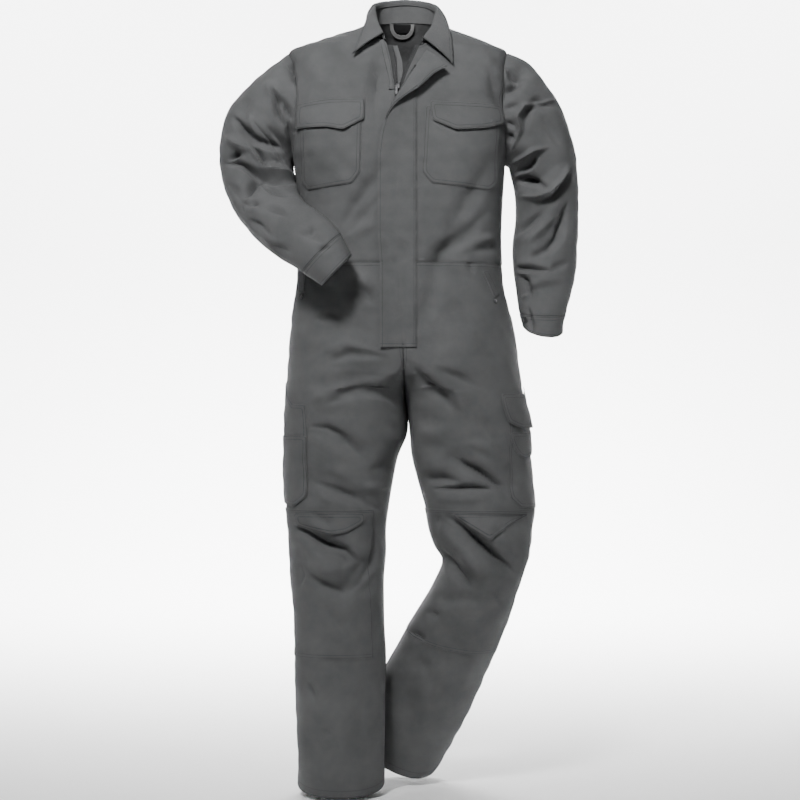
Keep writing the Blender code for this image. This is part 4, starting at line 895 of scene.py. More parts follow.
def build_stitches():
    """Each stitch is a low bead: a four-cornered foot with a short ridge along its middle."""
    bead = np.array(((3, 2, 1, 0), (0, 1, 5, 4), (2, 3, 4, 5)))
    ends = np.array(((1, 2, 5), (3, 0, 4)))
    for group, lines in SEWN.items():
        points, faces, count = [], [], 0
        for line in lines:
            middle = (line[:-1, :3] + line[1:, :3]) / 2
            way = unit(np.diff(line[:, :3], axis=0)) * STITCH_LENGTH / 2
            out = unit(line[:-1, 3:])
            side = unit(np.cross(out, way)) * STITCH_WIDTH / 2
            low = middle - out * STITCH_SINK
            foot = [low + way * a + side * b for a, b in ((-1, -1), (1, -1), (1, 1), (-1, 1))]
            top = [middle + way * a + out * STITCH_HEIGHT for a in (-0.6, 0.6)]
            points.append(np.stack(foot + top, axis=1).reshape(-1, 3))
            starts = count + 6 * np.arange(len(middle))
            for shape in (bead, ends):
                faces += list((starts[:, None, None] + shape).reshape(-1, shape.shape[1]))
            count += 6 * len(middle)
        piece(f"stitches_{group}", np.concatenate(points), faces, "thread", sharp=70)
        # Beside the stitches, each row also gets a dark line of painted seam shade.
        build_seam_shade_lines(f"seam_shade_lines_{group}", lines)


def build_seam_shade_lines(name, lines):
    """The narrow dark line along each row of stitches: painted shade that stands in for the shadow where the
    stitches pull the cloth in.
    """
    points, faces, count = [], [], 0
    for line in lines:
        place, out = line[:, :3], unit(line[:, 3:])
        side = unit(np.cross(out, np.gradient(place, axis=0))) * SEAM_SHADE_WIDTH / 2
        low = place - out * STITCH_SINK
        rim = (low - side, place + out * SEAM_SHADE_HEIGHT, low + side)
        points.append(np.stack(rim, axis=1).reshape(-1, 3))
        faces += [list(face) for face in grid_faces(len(line), 3, first=count, closed=True)]
        faces += [[count, count + 1, count + 2], [count + 3 * len(line) - 3 + k for k in (2, 1, 0)]]
        count += 3 * len(line)
    piece(name, np.concatenate(points), faces, "painted_seam_shade", sharp=70)


def inside_edge(place, out, edge, distance):
    """The line that far inside the top, bottom, first or last edge of a grid."""
    turned = edge in ("first", "last")
    backwards = edge in ("bottom", "last")
    lines = []
    for grid in (place, out):
        grid = np.swapaxes(grid, 0, 1) if turned else grid
        lines.append(grid[::-1][:12] if backwards else grid[:12])
    place, out = lines
    steps = np.linalg.norm(np.diff(place, axis=0), axis=2)
    reach = np.concatenate((np.zeros((1, steps.shape[1])), np.cumsum(steps, axis=0)))
    low = np.clip(np.sum(reach <= distance, axis=0) - 1, 0, len(steps) - 1)
    column = np.arange(reach.shape[1])
    share = (distance - reach[low, column]) / np.maximum(steps[low, column], 1e-6)
    share = np.clip(share, 0, 1)[:, None]
    return [grid[low, column] * (1 - share) + grid[low + 1, column] * share for grid in (place, out)]


def sew_edges(group, place, out, seams, part=slice(None)):
    """Rows of stitches inside the named edges of a grid, each edge with the rows' distances."""
    for edge, distances in seams:
        for distance in distances:
            line, line_out = inside_edge(place, out, edge, distance)
            sew(group, line[part], line_out[part])


def sunk_edges(place, out, columns):
    """A grid whose ends, and the columns named, lie a little deeper, as cloth does at a seam."""
    dip = np.zeros(place.shape[:2])
    dip[[0, -1]] = SEAM_DIP
    dip[:, columns] = SEAM_DIP
    return place - out * dip[..., None]


EASING_ROUNDS = 160


def eased(tube, place, u):
    """A trouser panel whose rows run on smoothly past the crotch, next to the legs' inner sides.

    The easing fades out away from the crotch's rows, towards the outer side and at the inner edge itself.
    """
    rows = np.arange(len(place))[:, None] / FINE
    near = np.clip(1.3 - np.abs(rows - tube.first_closed - 0.5) / 2.2, 0, 1)
    inner = np.clip((np.abs(u) - 0.35) / 0.25, 0, 1)
    weight = (near * inner * np.clip((1 - np.abs(u)) / 0.04, 0, 1))[1:-1, :, None]
    for _ in range(EASING_ROUNDS):
        place[1:-1] += ((place[:-2] + place[2:]) / 2 - place[1:-1]) * weight
    return place


def wall(name, tube, u, v, group, seams, sunk, armholes=(), ease=False):
    """A cloth panel over the places (u, v) of a tube, with its armholes as (border column, side) each."""
    place, out = tube.point(u, v)
    if ease:
        plain = tube.plain_point(u, v)
        place = place - plain + eased(tube, plain.copy(), u)
    rows = slice(len(SHOULDER_ROWS), len(SHOULDER_ROWS) + ARM_CELLS + 1)
    for column, side in armholes:
        out[rows, column] = -armhole_inward(place[rows, column], side)
    place = sunk_edges(place, out, sunk)
    sew_edges(group, place, out, seams)
    cloth(name + "_cloth", drawn_in(place), drawn_in(place - out * CLOTH), nodes=[name])


def ring(name, tube, v, group, seams):
    """A tube piece that goes all the way round, between two open ends."""
    u = np.concatenate((np.linspace(0, 1, ARM_CELLS + 1)[:-1], np.linspace(-1, 0, ARM_CELLS + 1)[:-1]))
    place, out = tube.point(*np.meshgrid(u, v))
    place = sunk_edges(place, out, [])
    sew_edges(group, *(np.concatenate((grid, grid[:, :1]), axis=1) for grid in (place, out)), seams)
    outer, inner = place, place - out * CLOTH
    for grid in (outer, inner):
        grid[0] += unit(grid[1] - grid[0]) * SEAM_GAP / 2
        grid[-1] += unit(grid[-2] - grid[-1]) * SEAM_GAP / 2
    cloth(name + "_cloth", outer, inner, closed=True, nodes=[name])


def spread_rows(top_v, inward):
    """Row positions of a torso panel: crowded as the armhole's points at the side, even further in."""
    count = len(SHOULDER_ROWS) + LEVEL_CELLS
    side_v, level = TORSO_ROWS[:, None], ARMHOLE_ROWS[LEVEL_CELLS]
    fade = np.clip((level - side_v) / (level - side_v[0]), 0, 1)
    crowded = side_v + fade * (top_v - side_v[0])
    even = top_v + (level - top_v) * np.clip(np.arange(len(TORSO_ROWS)) / count, 0, 1)[:, None]
    even = np.where(side_v < level - 1e-6, even, side_v)
    v = crowded + (even - crowded) * np.sqrt(inward)
    return v, np.clip((level - v) / (level - top_v), 0, 1)


def armhole_side(front):
    """How far round each row of a torso panel starts: 0 at the side seam, more along the armhole."""
    side_v = TORSO_ROWS[:, None]
    in_hole = (side_v > ARMHOLE_ROWS[0]) & (side_v < ARMHOLE_ROWS[-1])
    return np.where(in_hole, armhole_u(side_v, front), 0)


def front_grid(side):
    """(u, v) of a chest front: columns from its side edge to its front edge, rows from neck to waist."""
    edge, neckline = (RIGHT_EDGE, NECKLINE["right"]) if side == "right" else (LEFT_EDGE, NECKLINE["left"])
    across = np.linspace(0, 1, FRONT_CELLS + 1)
    stations = across * (len(neckline["x"]) - 1)
    neck_v = TORSO_TUBE.v_at(between(neckline["z"], stations))
    neck_u = TORSO_TUBE.front_u(between(neckline["x"], stations), neck_v)
    v, fade = spread_rows(neck_v, across)
    edge_v = v[:, -1:]
    edge_x = np.interp(-TORSO_TUBE.get("out_z", edge_v), -edge["z"][::-1], edge["x"][::-1])
    u_edge = TORSO_TUBE.front_u(edge_x, edge_v)
    u_side = armhole_side(True)
    if side == "left":
        u_side = 1 - u_side
    u = u_side + (u_edge - u_side) * across
    return u + fade * (neck_u - u[0]), v


def back_grid():
    """(u, v) of the back, from the right side edge to the left one."""
    across = np.linspace(0, 1, BACK_CELLS + 1)
    rise = np.sin(across * math.pi) ** 1.5
    top_v = TORSO_ROWS[0] + (TORSO_TUBE.v_at(NECK_BACK_Z) - TORSO_ROWS[0]) * rise
    v, _ = spread_rows(top_v, np.minimum(across, 1 - across) * 2)
    u_side = armhole_side(False)
    return -(u_side + (1 - 2 * u_side) * across), v


def leg_grid(side, first, last):
    """(u, v) of a leg's columns first to last, counted in cells from the side seam, below 0 at the back."""
    tube, centre_v = LEG_TUBES[side], LEG_ROWS[side]
    u = np.arange(first, last + 1) / LEG_CELLS
    # The rows crowd together at the crotch and lie evenly at the side seam.
    side_v = centre_v.copy()
    start, end = 3 * FINE, (tube.first_closed + 3) * FINE
    heights = tube.get("out_z", centre_v[[start, end]])
    side_v[start : end + 1] = tube.v_at(np.linspace(heights[0], heights[1], end - start + 1))
    v = side_v[:, None] + (centre_v - side_v)[:, None] * np.abs(u) ** 3
    return np.broadcast_to(u, v.shape), v


def front_surface(x, z):
    """The garment's front at places seen from the front, above and below the waist, with its direction."""
    x, z = np.broadcast_arrays(np.asarray(x, float), np.asarray(z, float))
    v = TORSO_TUBE.v_at(z)
    place, out = TORSO_TUBE.point(TORSO_TUBE.front_u(x, v), v)
    centre_x = np.interp(-z, -SEAT["z"], SEAT["centre_x"])
    for side, tube in LEG_TUBES.items():
        v = tube.v_at(z)
        leg_place, leg_out = tube.point(tube.front_u(x, v), v)
        here = (z < WAIST_Z) & ((x - centre_x) * SIDES[side] >= 0)
        place, out = np.where(here[..., None], leg_place, place), np.where(here[..., None], leg_out, out)
    return place, out


NEWTON_ROUNDS, NEWTON_STEP, MOST_U, MOST_V = 8, 1e-3, 0.1, 0.5  # the last two bound a round's change


def seen_uv(tube, x, z):
    """The (u, v) of the places on a tube's front that are seen at (x, z), by Newton's method."""
    x, z = np.broadcast_arrays(np.asarray(x, float), np.asarray(z, float))
    v = tube.v_at(z)
    u = np.clip(tube.front_u(x, v), 0.03, 0.97)
    for _ in range(NEWTON_ROUNDS):
        here = tube.plain_point(u, v)
        by_u = (tube.plain_point(u + NEWTON_STEP, v) - here) / NEWTON_STEP
        by_v = (tube.plain_point(u, v + NEWTON_STEP) - here) / NEWTON_STEP
        miss_x, miss_z = x - here[..., 0], z - here[..., 2]
        spread = by_u[..., 0] * by_v[..., 2] - by_v[..., 0] * by_u[..., 2]
        spread = np.where(np.abs(spread) < 1, 1, spread)
        du = (miss_x * by_v[..., 2] - miss_z * by_v[..., 0]) / spread
        dv = (miss_z * by_u[..., 0] - miss_x * by_u[..., 2]) / spread
        u = np.clip(u + np.clip(du, -MOST_U, MOST_U), 0.0, 1.0)
        v = np.clip(v + np.clip(dv, -MOST_V, MOST_V), 0, tube.count - 1)
    return u, v


def seen_on(tube):
    """A surface to lay pieces on: the tube's front, by places seen from the front."""
    return lambda x, z: tube.point(*seen_uv(tube, x, z))


HALF_ROUND = 340.0  # about half a trouser leg's round at the thigh
FLAP_LIFT, KNEE_LIFT, KNEE_LIFT_DROP = 4.5, 5.0, 50.0  # how far free edges stand away from the cloth
ROLL = 1.5  # how far in from its edge a piece reaches its full thickness
SEWN_STEP, EDGE_STEP = 3.0, 4.0  # how far apart the points of a piece's stitches and edge lie


def round_side(tube):
    """A surface to lay pieces on: a thigh's outer side, by the way round from the side seam and height."""
    return lambda p, z: tube.point(np.asarray(p) / HALF_ROUND, tube.v_at(z))


def opened(high, low, raised):
    """How far a flap stands away from the cloth: not at its upper edge, most at the lower one."""
    return lambda _, z: raised * np.clip((high - z) / (high - low), 0, 1) ** 2


def z_range(outline):
    """The highest and the lowest z of an outline."""
    heights = [z for _, z in outline]
    return max(heights), min(heights)


def side_outline(tube, outline):
    """An outline seen from the front, run round a thigh's outer side to the back and mirrored there."""
    front = []
    for x, z in outline:
        v = tube.v_at(z)
        beyond = abs(x) > abs(float(tube.get("out_x", v)))
        front.append((0.0 if beyond else float(tube.front_u(x, v)) * HALF_ROUND, z))
    return front + [(-p, z) for p, z in front[::-1] if p > 0]


def inset(outline, distance):
    """An outline with each edge moved in by the distance."""
    points = np.array(outline, float)
    turn = np.sum(points[:, 0] * np.roll(points[:, 1], -1) - np.roll(points[:, 0], -1) * points[:, 1])
    ways = unit(np.roll(points, -1, axis=0) - points)
    inward = np.stack((-ways[:, 1], ways[:, 0]), axis=-1) * (1 if turn > 0 else -1)
    before = np.roll(inward, 1, axis=0)
    corner = (before + inward) / np.maximum(1 + np.sum(before * inward, axis=1, keepdims=True), 0.4)
    return points + corner * distance


def rounded(outline, radius, step):
    """An outline's points every step or so, its corners rounded."""
    points, path = np.array(outline, float), []
    for before, here, after in zip(np.roll(points, 1, axis=0), points, np.roll(points, -1, axis=0)):
        reach = min(radius, np.linalg.norm(before - here) * 0.45, np.linalg.norm(after - here) * 0.45)
        start, end = here + unit(before - here) * reach, here + unit(after - here) * reach
        for f in (0.0, 0.25, 0.5, 0.75, 1.0):
            path.append((1 - f) ** 2 * start + 2 * f * (1 - f) * here + f**2 * end)
    return resampled(np.array(path + path[:1]), step)[:-1]


def lengths_along(path):
    """How far along a path each of its points lies."""
    return np.concatenate(((0.0,), np.cumsum(np.linalg.norm(np.diff(path, axis=0), axis=1))))


def resampled(path, step):
    """Points along a path, evenly spaced at about the step."""
    lengths = lengths_along(path)
    count = max(int(round(lengths[-1] / step)), 2)
    at = np.linspace(0, lengths[-1], count + 1)
    return np.stack([np.interp(at, lengths, path[:, k]) for k in range(path.shape[1])], axis=-1)


def edge_distance(points, outline):
    """How far each point lies from an outline's nearest edge."""
    best = np.full(len(points), 1e9)
    for a, b in zip(outline, np.roll(outline, -1, axis=0)):
        way = b - a
        along = np.clip(((points - a) @ way) / max(way @ way, 1e-9), 0, 1)
        best = np.minimum(best, np.linalg.norm(points - a - along[:, None] * way, axis=1))
    return best


def triangulated(edge, inner, step):
    """Places and triangles that fill an outline, with a ring just inside it and a grid within."""
    low, high = edge.min(axis=0), edge.max(axis=0)
    grid = np.stack(np.meshgrid(*(np.arange(low[k], high[k], step) for k in (0, 1))), axis=-1).reshape(-1, 2)
    coords = [Vector(point) for point in np.concatenate((edge, inner, grid + 0.37))]
    rings = [(k, (k + 1) % len(edge)) for k in range(len(edge))]
    rings += [(len(edge) + k, len(edge) + (k + 1) % len(inner)) for k in range(len(inner))]
    flat, _, triangles, *_ = geometry.delaunay_2d_cdt(coords, rings, [], 1, 1e-3)
    flat = np.array([tuple(point) for point in flat])
    used = np.unique(np.array(triangles))
    renumber = {int(old): new for new, old in enumerate(used)}
    return flat[used], [tuple(renumber[int(k)] for k in corners) for corners in triangles]


def flat_lift(_, z):
    return np.zeros(len(z))


def patch(name, outline, surface, stand_off, corner=3.0, step=5.0, lift=flat_lift, rows=DOUBLE):
    """A piece cut to an outline and laid on a surface that far off, with rolled edges and rows of stitches.

    lift(x, z) raises it more.
    """
    for distance in rows:
        line = rounded(inset(outline, distance), corner, SEWN_STEP)
        line = np.concatenate((line, line[:1]))
        place, out = surface(line[:, 0], line[:, 1])
        sew("pockets", place + out * (stand_off + TRIM + lift(line[:, 0], line[:, 1]))[:, None], out)
    edge = rounded(outline, corner, EDGE_STEP)
    inner = rounded(inset(outline, ROLL), max(corner - ROLL, 1.0), EDGE_STEP)
    flat, triangles = triangulated(edge, inner, step)
    place, out = surface(flat[:, 0], flat[:, 1])
    base = stand_off + lift(flat[:, 0], flat[:, 1])
    top = base + TRIM * (0.5 + 0.5 * np.clip(edge_distance(flat, edge) / ROLL, 0, 1))
    outer, under = place + out * top[:, None], place + out * base[:, None]
    count = len(flat)
    sides = {side for corners in triangles for side in zip(corners, corners[1:] + corners[:1])}
    faces = triangles + [tuple(k + count for k in corners[::-1]) for corners in triangles]
    faces += [(b, a, a + count, b + count) for a, b in sorted(sides) if (b, a) not in sides]
    uv = np.concatenate((flat, flat))
    piece(name + "_cloth", np.concatenate((outer, under)), faces, "twill", uv=uv, nodes=[name])


def shader(name, roughness, metallic=0.0, sheen=0.0):
    """A new material with its Principled shader and a maker of nodes."""
    made = bpy.data.materials.new(name)
    made.use_nodes = True
    tree = made.node_tree
    main = tree.nodes["Principled BSDF"]
    main.inputs["Roughness"].default_value = roughness
    main.inputs["Metallic"].default_value = metallic
    main.inputs["Specular IOR Level"].default_value = 0.5 if metallic else 0.3
    main.inputs["Sheen Weight"].default_value = sheen
    main.inputs["Sheen Roughness"].default_value = 0.45

    def node(kind, inputs=(), **settings):
        new = tree.nodes.new(kind)
        for key, value in settings.items():
            setattr(new, key, value)
        for key, value in dict(inputs).items():
            if isinstance(value, bpy.types.NodeSocket):
                tree.links.new(value, new.inputs[key])
            else:
                new.inputs[key].default_value = value
        return new

    return made, tree, main, node


def ramp(node, source, stops):
    """A colour ramp over a value, from (position, colour) stops."""
    made = node("ShaderNodeValToRGB", {"Fac": source})
    for k, (position, colour) in enumerate(stops):
        stop = made.color_ramp.elements[k] if k < 2 else made.color_ramp.elements.new(position)
        stop.position = position
        stop.color = (*colour, 1)
    return made.outputs["Color"]


RIB_SLANT, SLUB_SCALE, CLOUD_SCALE = 63, 900.0, 14.0  # degrees, and how fine the noises are
WEAR = 0.05  # how far worn edges go towards the paler colour


def woven(name, dark, light, pitch, depth, roughness=0.8):
    """A twill: slanting ribs, slubs in the yarn, uneven dye, bends paler outside where worn, and painted
    shade that darkens concave creases.
    """
    made, tree, main, node = shader(name, roughness, sheen=0.03)
    cut = node("ShaderNodeTexCoord").outputs["UV"]
    where = node("ShaderNodeTexCoord").outputs["Object"]
    slant = {"Vector": cut, "Rotation": (0, 0, math.radians(RIB_SLANT))}
    turned = node("ShaderNodeMapping", slant).outputs["Vector"]
    wave = {"Vector": turned, "Scale": 0.31 / pitch, "Distortion": 1.6, "Detail Scale": 2.0}
    ribs = node("ShaderNodeTexWave", wave)
    slubs = node("ShaderNodeTexNoise", {"Vector": cut, "Scale": SLUB_SCALE, "Detail": 4.0, "Roughness": 0.7})
    cloud = {"Vector": where, "Scale": CLOUD_SCALE, "Detail": 5.0, "Roughness": 0.6}
    cloudy = node("ShaderNodeTexNoise", cloud)
    bend = node("ShaderNodeNewGeometry").outputs["Pointiness"]
    mixed = node("ShaderNodeMath", {0: slubs.outputs["Fac"], 1: cloudy.outputs["Fac"]}, operation="ADD")
    tone = node("ShaderNodeMath", {0: mixed.outputs[0], 1: 0.5}, operation="MULTIPLY")
    colour = ramp(node, tone.outputs[0], ((0.35, dark), (0.65, light)))
    worn = node("ShaderNodeMapRange", {"Value": bend, "From Min": 0.52, "From Max": 0.62, "To Max": WEAR})
    # Painted shade: concave places (low pointiness) are darkened towards a near-black, standing in for the
    # shadow in creases.
    deep = node("ShaderNodeMapRange", {"Value": bend, "From Min": 0.49, "From Max": 0.42, "To Max": 0.3})
    paler = tuple(min(value * 1.9, 1) for value in light)
    darker = tuple(value * 0.3 for value in dark)
    for factor, other in ((worn, paler), (deep, darker)):
        blend = node("ShaderNodeMix", data_type="RGBA")
        tree.links.new(factor.outputs[0], blend.inputs["Factor"])
        tree.links.new(colour, blend.inputs[6])
        blend.inputs[7].default_value = (*other, 1)
        colour = blend.outputs[2]
    tree.links.new(colour, main.inputs["Base Color"])
    weave = node("ShaderNodeMath", {0: ribs.outputs["Fac"], 1: slubs.outputs["Fac"]}, operation="ADD")
    bump = node("ShaderNodeBump", {"Height": weave.outputs[0], "Strength": depth, "Distance": 0.0006})
    tree.links.new(bump.outputs["Normal"], main.inputs["Normal"])
    return made


def metal(name, colour, roughness):
    """A dull metal with fine scratches and a little tarnish."""
    made, tree, main, node = shader(name, roughness, metallic=1.0)
    where = node("ShaderNodeTexCoord").outputs["Object"]
    stretched = node("ShaderNodeMapping", {"Vector": where, "Scale": (1, 1, 14)}).outputs["Vector"]
    scratches = node("ShaderNodeTexNoise", {"Vector": stretched, "Scale": 700.0, "Detail": 3.0})
    tarnish = node("ShaderNodeTexNoise", {"Vector": where, "Scale": 260.0, "Detail": 3.0})
    dull = tuple(value * 0.55 for value in colour)
    tinted = ramp(node, tarnish.outputs["Fac"], ((0.35, dull), (0.6, colour)))
    tree.links.new(tinted, main.inputs["Base Color"])
    bump = node("ShaderNodeBump", {"Height": scratches.outputs["Fac"], "Strength": 0.25, "Distance": 0.0002})
    tree.links.new(bump.outputs["Normal"], main.inputs["Normal"])
    return made


LOOKS = {
    "twill": woven("twill", (0.074, 0.076, 0.077), (0.112, 0.114, 0.116), 0.0011, 0.5),
    "thread": woven("thread", (0.03, 0.031, 0.032), (0.05, 0.051, 0.052), 0.0006, 0.4, roughness=0.6),
    # Near-black twill for the lines along the stitches: painted seam shade.
    "painted_seam_shade": woven("painted_seam_shade", (0.022, 0.023, 0.023), (0.036, 0.037, 0.037), 0.0011, 0.5),
    "tape": woven("tape", (0.03, 0.031, 0.032), (0.05, 0.051, 0.052), 0.0008, 0.5),
    "loop": woven("loop", (0.2, 0.2, 0.2), (0.32, 0.32, 0.32), 0.001, 0.5),
    "label": woven("label", (0.008, 0.008, 0.009), (0.016, 0.016, 0.017), 0.0005, 0.4),
    "teeth": metal("teeth", (0.1, 0.1, 0.105), 0.45),
    "metal": metal("metal", (0.36, 0.36, 0.37), 0.35),
    "stud": metal("stud", (0.3, 0.3, 0.31), 0.42),
}


# In metres: the floor's height, its front and back end, the curve behind it, and how high and wide all is.
FLOOR_Z, FLOOR_FRONT, FLOOR_BACK, CURVE, BACKDROP_TOP, STAGE_HALF_WIDTH = -1.508, -9.0, 4.2, 1.6, 9.0, 14.0
# Name, place, the place it points at, size in metres, power in watts and spread in degrees.
LAMPS = (
    ("key", (-0.75, -2.4, 1.7), (0, 0, -0.1), 0.65, 31, 84),
    ("second", (1.7, -2.3, 1.3), (0, 0, -0.2), 1.0, 4, 100),
    ("low_fill", (0.2, -3.4, -1.0), (0, 0, -1.1), 2.0, 0.5, 180),
    ("floor", (0, 2.6, 3.2), (0, 3.3, -1.5), 2.4, 250, 80),
    ("backdrop_left", (-3.0, 2.4, 3.8), (-1.4, 5.8, -0.3), 2.5, 570, 110),
    ("backdrop_right", (3.0, 2.4, 3.8), (1.4, 5.8, -0.3), 2.5, 570, 110),
)


def build_backdrop():
    """A pale floor that curves up behind into a backdrop."""
    profile = [(FLOOR_FRONT, 0.0), (FLOOR_BACK, 0.0)]
    for turn in np.linspace(0.1, math.pi / 2, 14):
        profile.append((FLOOR_BACK + CURVE * math.sin(turn), CURVE * (1 - math.cos(turn))))
    profile.append((FLOOR_BACK + CURVE, BACKDROP_TOP))
    points = [(x, y, FLOOR_Z + z) for x in (-STAGE_HALF_WIDTH, STAGE_HALF_WIDTH) for y, z in profile]
    count = len(profile)
    mesh = bpy.data.meshes.new("backdrop")
    mesh.from_pydata(points, [], [(k, k + count, k + 1 + count, k + 1) for k in range(count - 1)])
    mesh.shade_smooth()
    pale, _, main, _ = shader("backdrop", 0.9)
    main.inputs["Base Color"].default_value = (0.95, 0.95, 0.95, 1)
    mesh.materials.append(pale)
    placed("backdrop", mesh)


def build_lights():
    """A soft key light, two weak ones beside and below it, three on the stage and a faint world."""
    world = bpy.data.worlds.new("studio")
    world.use_nodes = True
    background = world.node_tree.nodes["Background"]
    background.inputs["Color"].default_value = (0.9, 0.92, 0.95, 1)
    background.inputs["Strength"].default_value = 0.07
    bpy.context.scene.world = world
    for name, place, aim, size, power, spread in LAMPS:
        light = bpy.data.lights.new(name, "AREA")
        light.size, light.energy, light.spread = size, power, math.radians(spread)
        lamp = placed(name, light)
        lamp.location = place
        lamp.rotation_euler = (Vector(aim) - Vector(place)).to_track_quat("-Z", "Y").to_euler()


CAMERA_PLACE, CAMERA_LENS, SENSOR_WIDTH = (0, -3.78, -0.72), 85.05, 36  # metres, and millimetres for both


def build_camera():
    """As far away as the photograph's, level with the middle of the suit."""
    camera = placed("camera", bpy.data.cameras.new("camera"))
    camera.location = CAMERA_PLACE
    camera.rotation_euler = (math.pi / 2, 0, 0)
    camera.data.lens, camera.data.sensor_width = CAMERA_LENS, SENSOR_WIDTH
    bpy.context.scene.camera = camera


def build_torso():
    for side, sign in SIDES.items():
        u, v = front_grid(side)
        seams = (("first", DOUBLE), ("top", DOUBLE))
        wall(f"front_{side}", TORSO_TUBE, u, v, "torso", seams, [0], armholes=((0, sign),))
    u, v = back_grid()
    seams = (("first", DOUBLE), ("last", DOUBLE))
    wall("back", TORSO_TUBE, u, v, "torso", seams, [0, -1], armholes=((0, -1), (-1, 1)))


def build_sleeves():
    for side, tube in SLEEVE_TUBES.items():
        cuff_row = tube.count - 2
        rows = np.linspace(0, cuff_row, SLEEVE_CELLS + 1)
        ring(f"sleeve_{side}", tube, rows, "sleeves", (("bottom", (2.0,)),))
        rows = np.linspace(cuff_row, tube.count - 1, CUFF_CELLS + 1)
        ring(f"cuff_{side}", tube, rows, "sleeves", (("top", DOUBLE), ("bottom", (2.0, 6.0))))


HEM = (3.0, 15.0)  # rows of stitches above a hem


def build_trousers():
    for side, tube in LEG_TUBES.items():
        for part, columns, side_edge, mid_edge, sunk in (
            ("front", (0, LEG_CELLS), "first", "last", [0]),
            ("back", (-LEG_CELLS, 0), "last", "first", [-1]),
        ):
            seams = (("top", DOUBLE), ("bottom", HEM), (side_edge, DOUBLE), (mid_edge, DOUBLE))
            u, v = leg_grid(side, *columns)
            wall(f"trouser_{part}_{side}", tube, u, v, "trousers", seams, sunk, ease=True)


def build_chest_pockets():
    for side in SIDES:
        lift = opened(*z_range(CHEST_FLAP[side]), FLAP_LIFT)
        patch(f"chest_pocket_{side}", CHEST_POCKET[side], front_surface, ON_PANEL)
        patch(f"chest_flap_{side}", CHEST_FLAP[side], front_surface, ON_POCKET, lift=lift)


KNEE_TOP, KNEE_ROWS, KNEE_FLAP_TOP = -934.0, 6, -941.0


def build_knees():
    for side, tube in LEG_TUBES.items():
        top = list(tube.rows["out_z"]).index(KNEE_TOP)
        rows = (LEG_ROWS[side] >= top - 1e-6) & (LEG_ROWS[side] <= top + KNEE_ROWS + 1e-6)
        first, last = KNEE_COLUMNS[side]
        u, v = leg_grid(side, first * FINE, last * FINE)
        place, out = tube.point(u[rows], v[rows])
        outer, inner = drawn_in(place + out * (ON_PANEL + TRIM)), drawn_in(place + out * ON_PANEL)
        seams = (("top", (3.0, 6.5)), ("bottom", DOUBLE), ("first", (2.0,)), ("last", (2.0,)))
        sew_edges("trousers", outer, out, seams)
        cloth(f"knee_pocket_{side}_cloth", outer, inner, nodes=[f"knee_pocket_{side}"])
        lift = opened(KNEE_FLAP_TOP, KNEE_FLAP_TOP - KNEE_LIFT_DROP, KNEE_LIFT)
        patch(f"knee_flap_{side}", KNEE_FLAP[side], seen_on(tube), ON_POCKET, lift=lift)


def build_hip_pockets():
    for side, tube in LEG_TUBES.items():
        how = {"corner": 1.5, "step": 3.0, "rows": (2.0,)}
        patch(f"hip_welt_{side}", HIP_WELT[side], seen_on(tube), ON_PANEL, **how)


def build_thigh_pockets():
    for name, side, outline, stand_off in (
        ("ruler_pocket_upper", "right", RULER_UPPER, ON_PANEL),
        ("ruler_pocket", "right", RULER_POCKET, ON_POCKET),
        ("cargo_pocket", "left", CARGO_POCKET, ON_PANEL),
        ("cargo_flap", "left", CARGO_FLAP, ON_POCKET),
        ("phone_flap", "left", PHONE_FLAP, ON_POCKET),
    ):
        tube = LEG_TUBES[side]
        outline = side_outline(tube, outline)
        lift = opened(*z_range(outline), FLAP_LIFT) if "flap" in name else flat_lift
        patch(name, outline, round_side(tube), stand_off, lift=lift)


# The placket over the zip: its sewn and free edges at each height, and its top, turned out over the chest
# along a fold line.
FLY = table("""
z free_x sewn_x
-617 -39 32
-457 -39 32
-395 -43 32
-244 -43 32
-213 -39 32
-197 -36 32
-174 -29 32
-153 -19 32
-139 -12 32
-112 4 33
-81 23 34
-72 29 35
""")
LAPEL = table("""
fold_x fold_z edge_x edge_z
-41 -236 -37 -236
-38 -213 -34 -213
-35 -197 -32 -195
-29 -174 -24 -172
-19 -153 -12 -153
-12 -139 6 -137
4 -112 41 -114
23 -81 66 -93
41 -56 84 -83
50 -40 90 -80
""")


def fly_grid(z, across):
    free, sewn = np.interp(z, FLY["z"], FLY["free_x"]), np.interp(z, FLY["z"], FLY["sewn_x"])
    x = free[:, None] + (sewn - free)[:, None] * across[None]
    return front_surface(x, np.repeat(z[:, None], len(across), axis=1))


FLY_SEAMS = (("last", (1.6, 5.0)), ("first", (5.0,)), ("top", (6.0,)), ("bottom", (2.5, 14.0)))
FLY_UNDER, FLY_OUTER = 1.0, 2.6  # how far its two faces stand off the front
LAPEL_BASE, LAPEL_RISE, LAPEL_WAVE, LAPEL_ROLL, LAPEL_THICK = 3.4, 15.0, 1.2, 1.4, 1.4


def build_fly():
    """The placket: a strip sewn down the left front, with its free edge a little away from the cloth."""
    across = np.linspace(0, 1, 17)
    place, out = fly_grid(np.linspace(FLY["z"][0], FLY["z"][-1], 120), across)
    place = place + out * np.clip((0.5 - across) * 2, 0, 1)[None, :, None] * FLAP_LIFT
    outer = place + out * FLY_OUTER
    sew_edges("fly", outer, out, FLY_SEAMS)
    cloth("fly_cloth", outer, place + out * FLY_UNDER, nodes=["fly"])


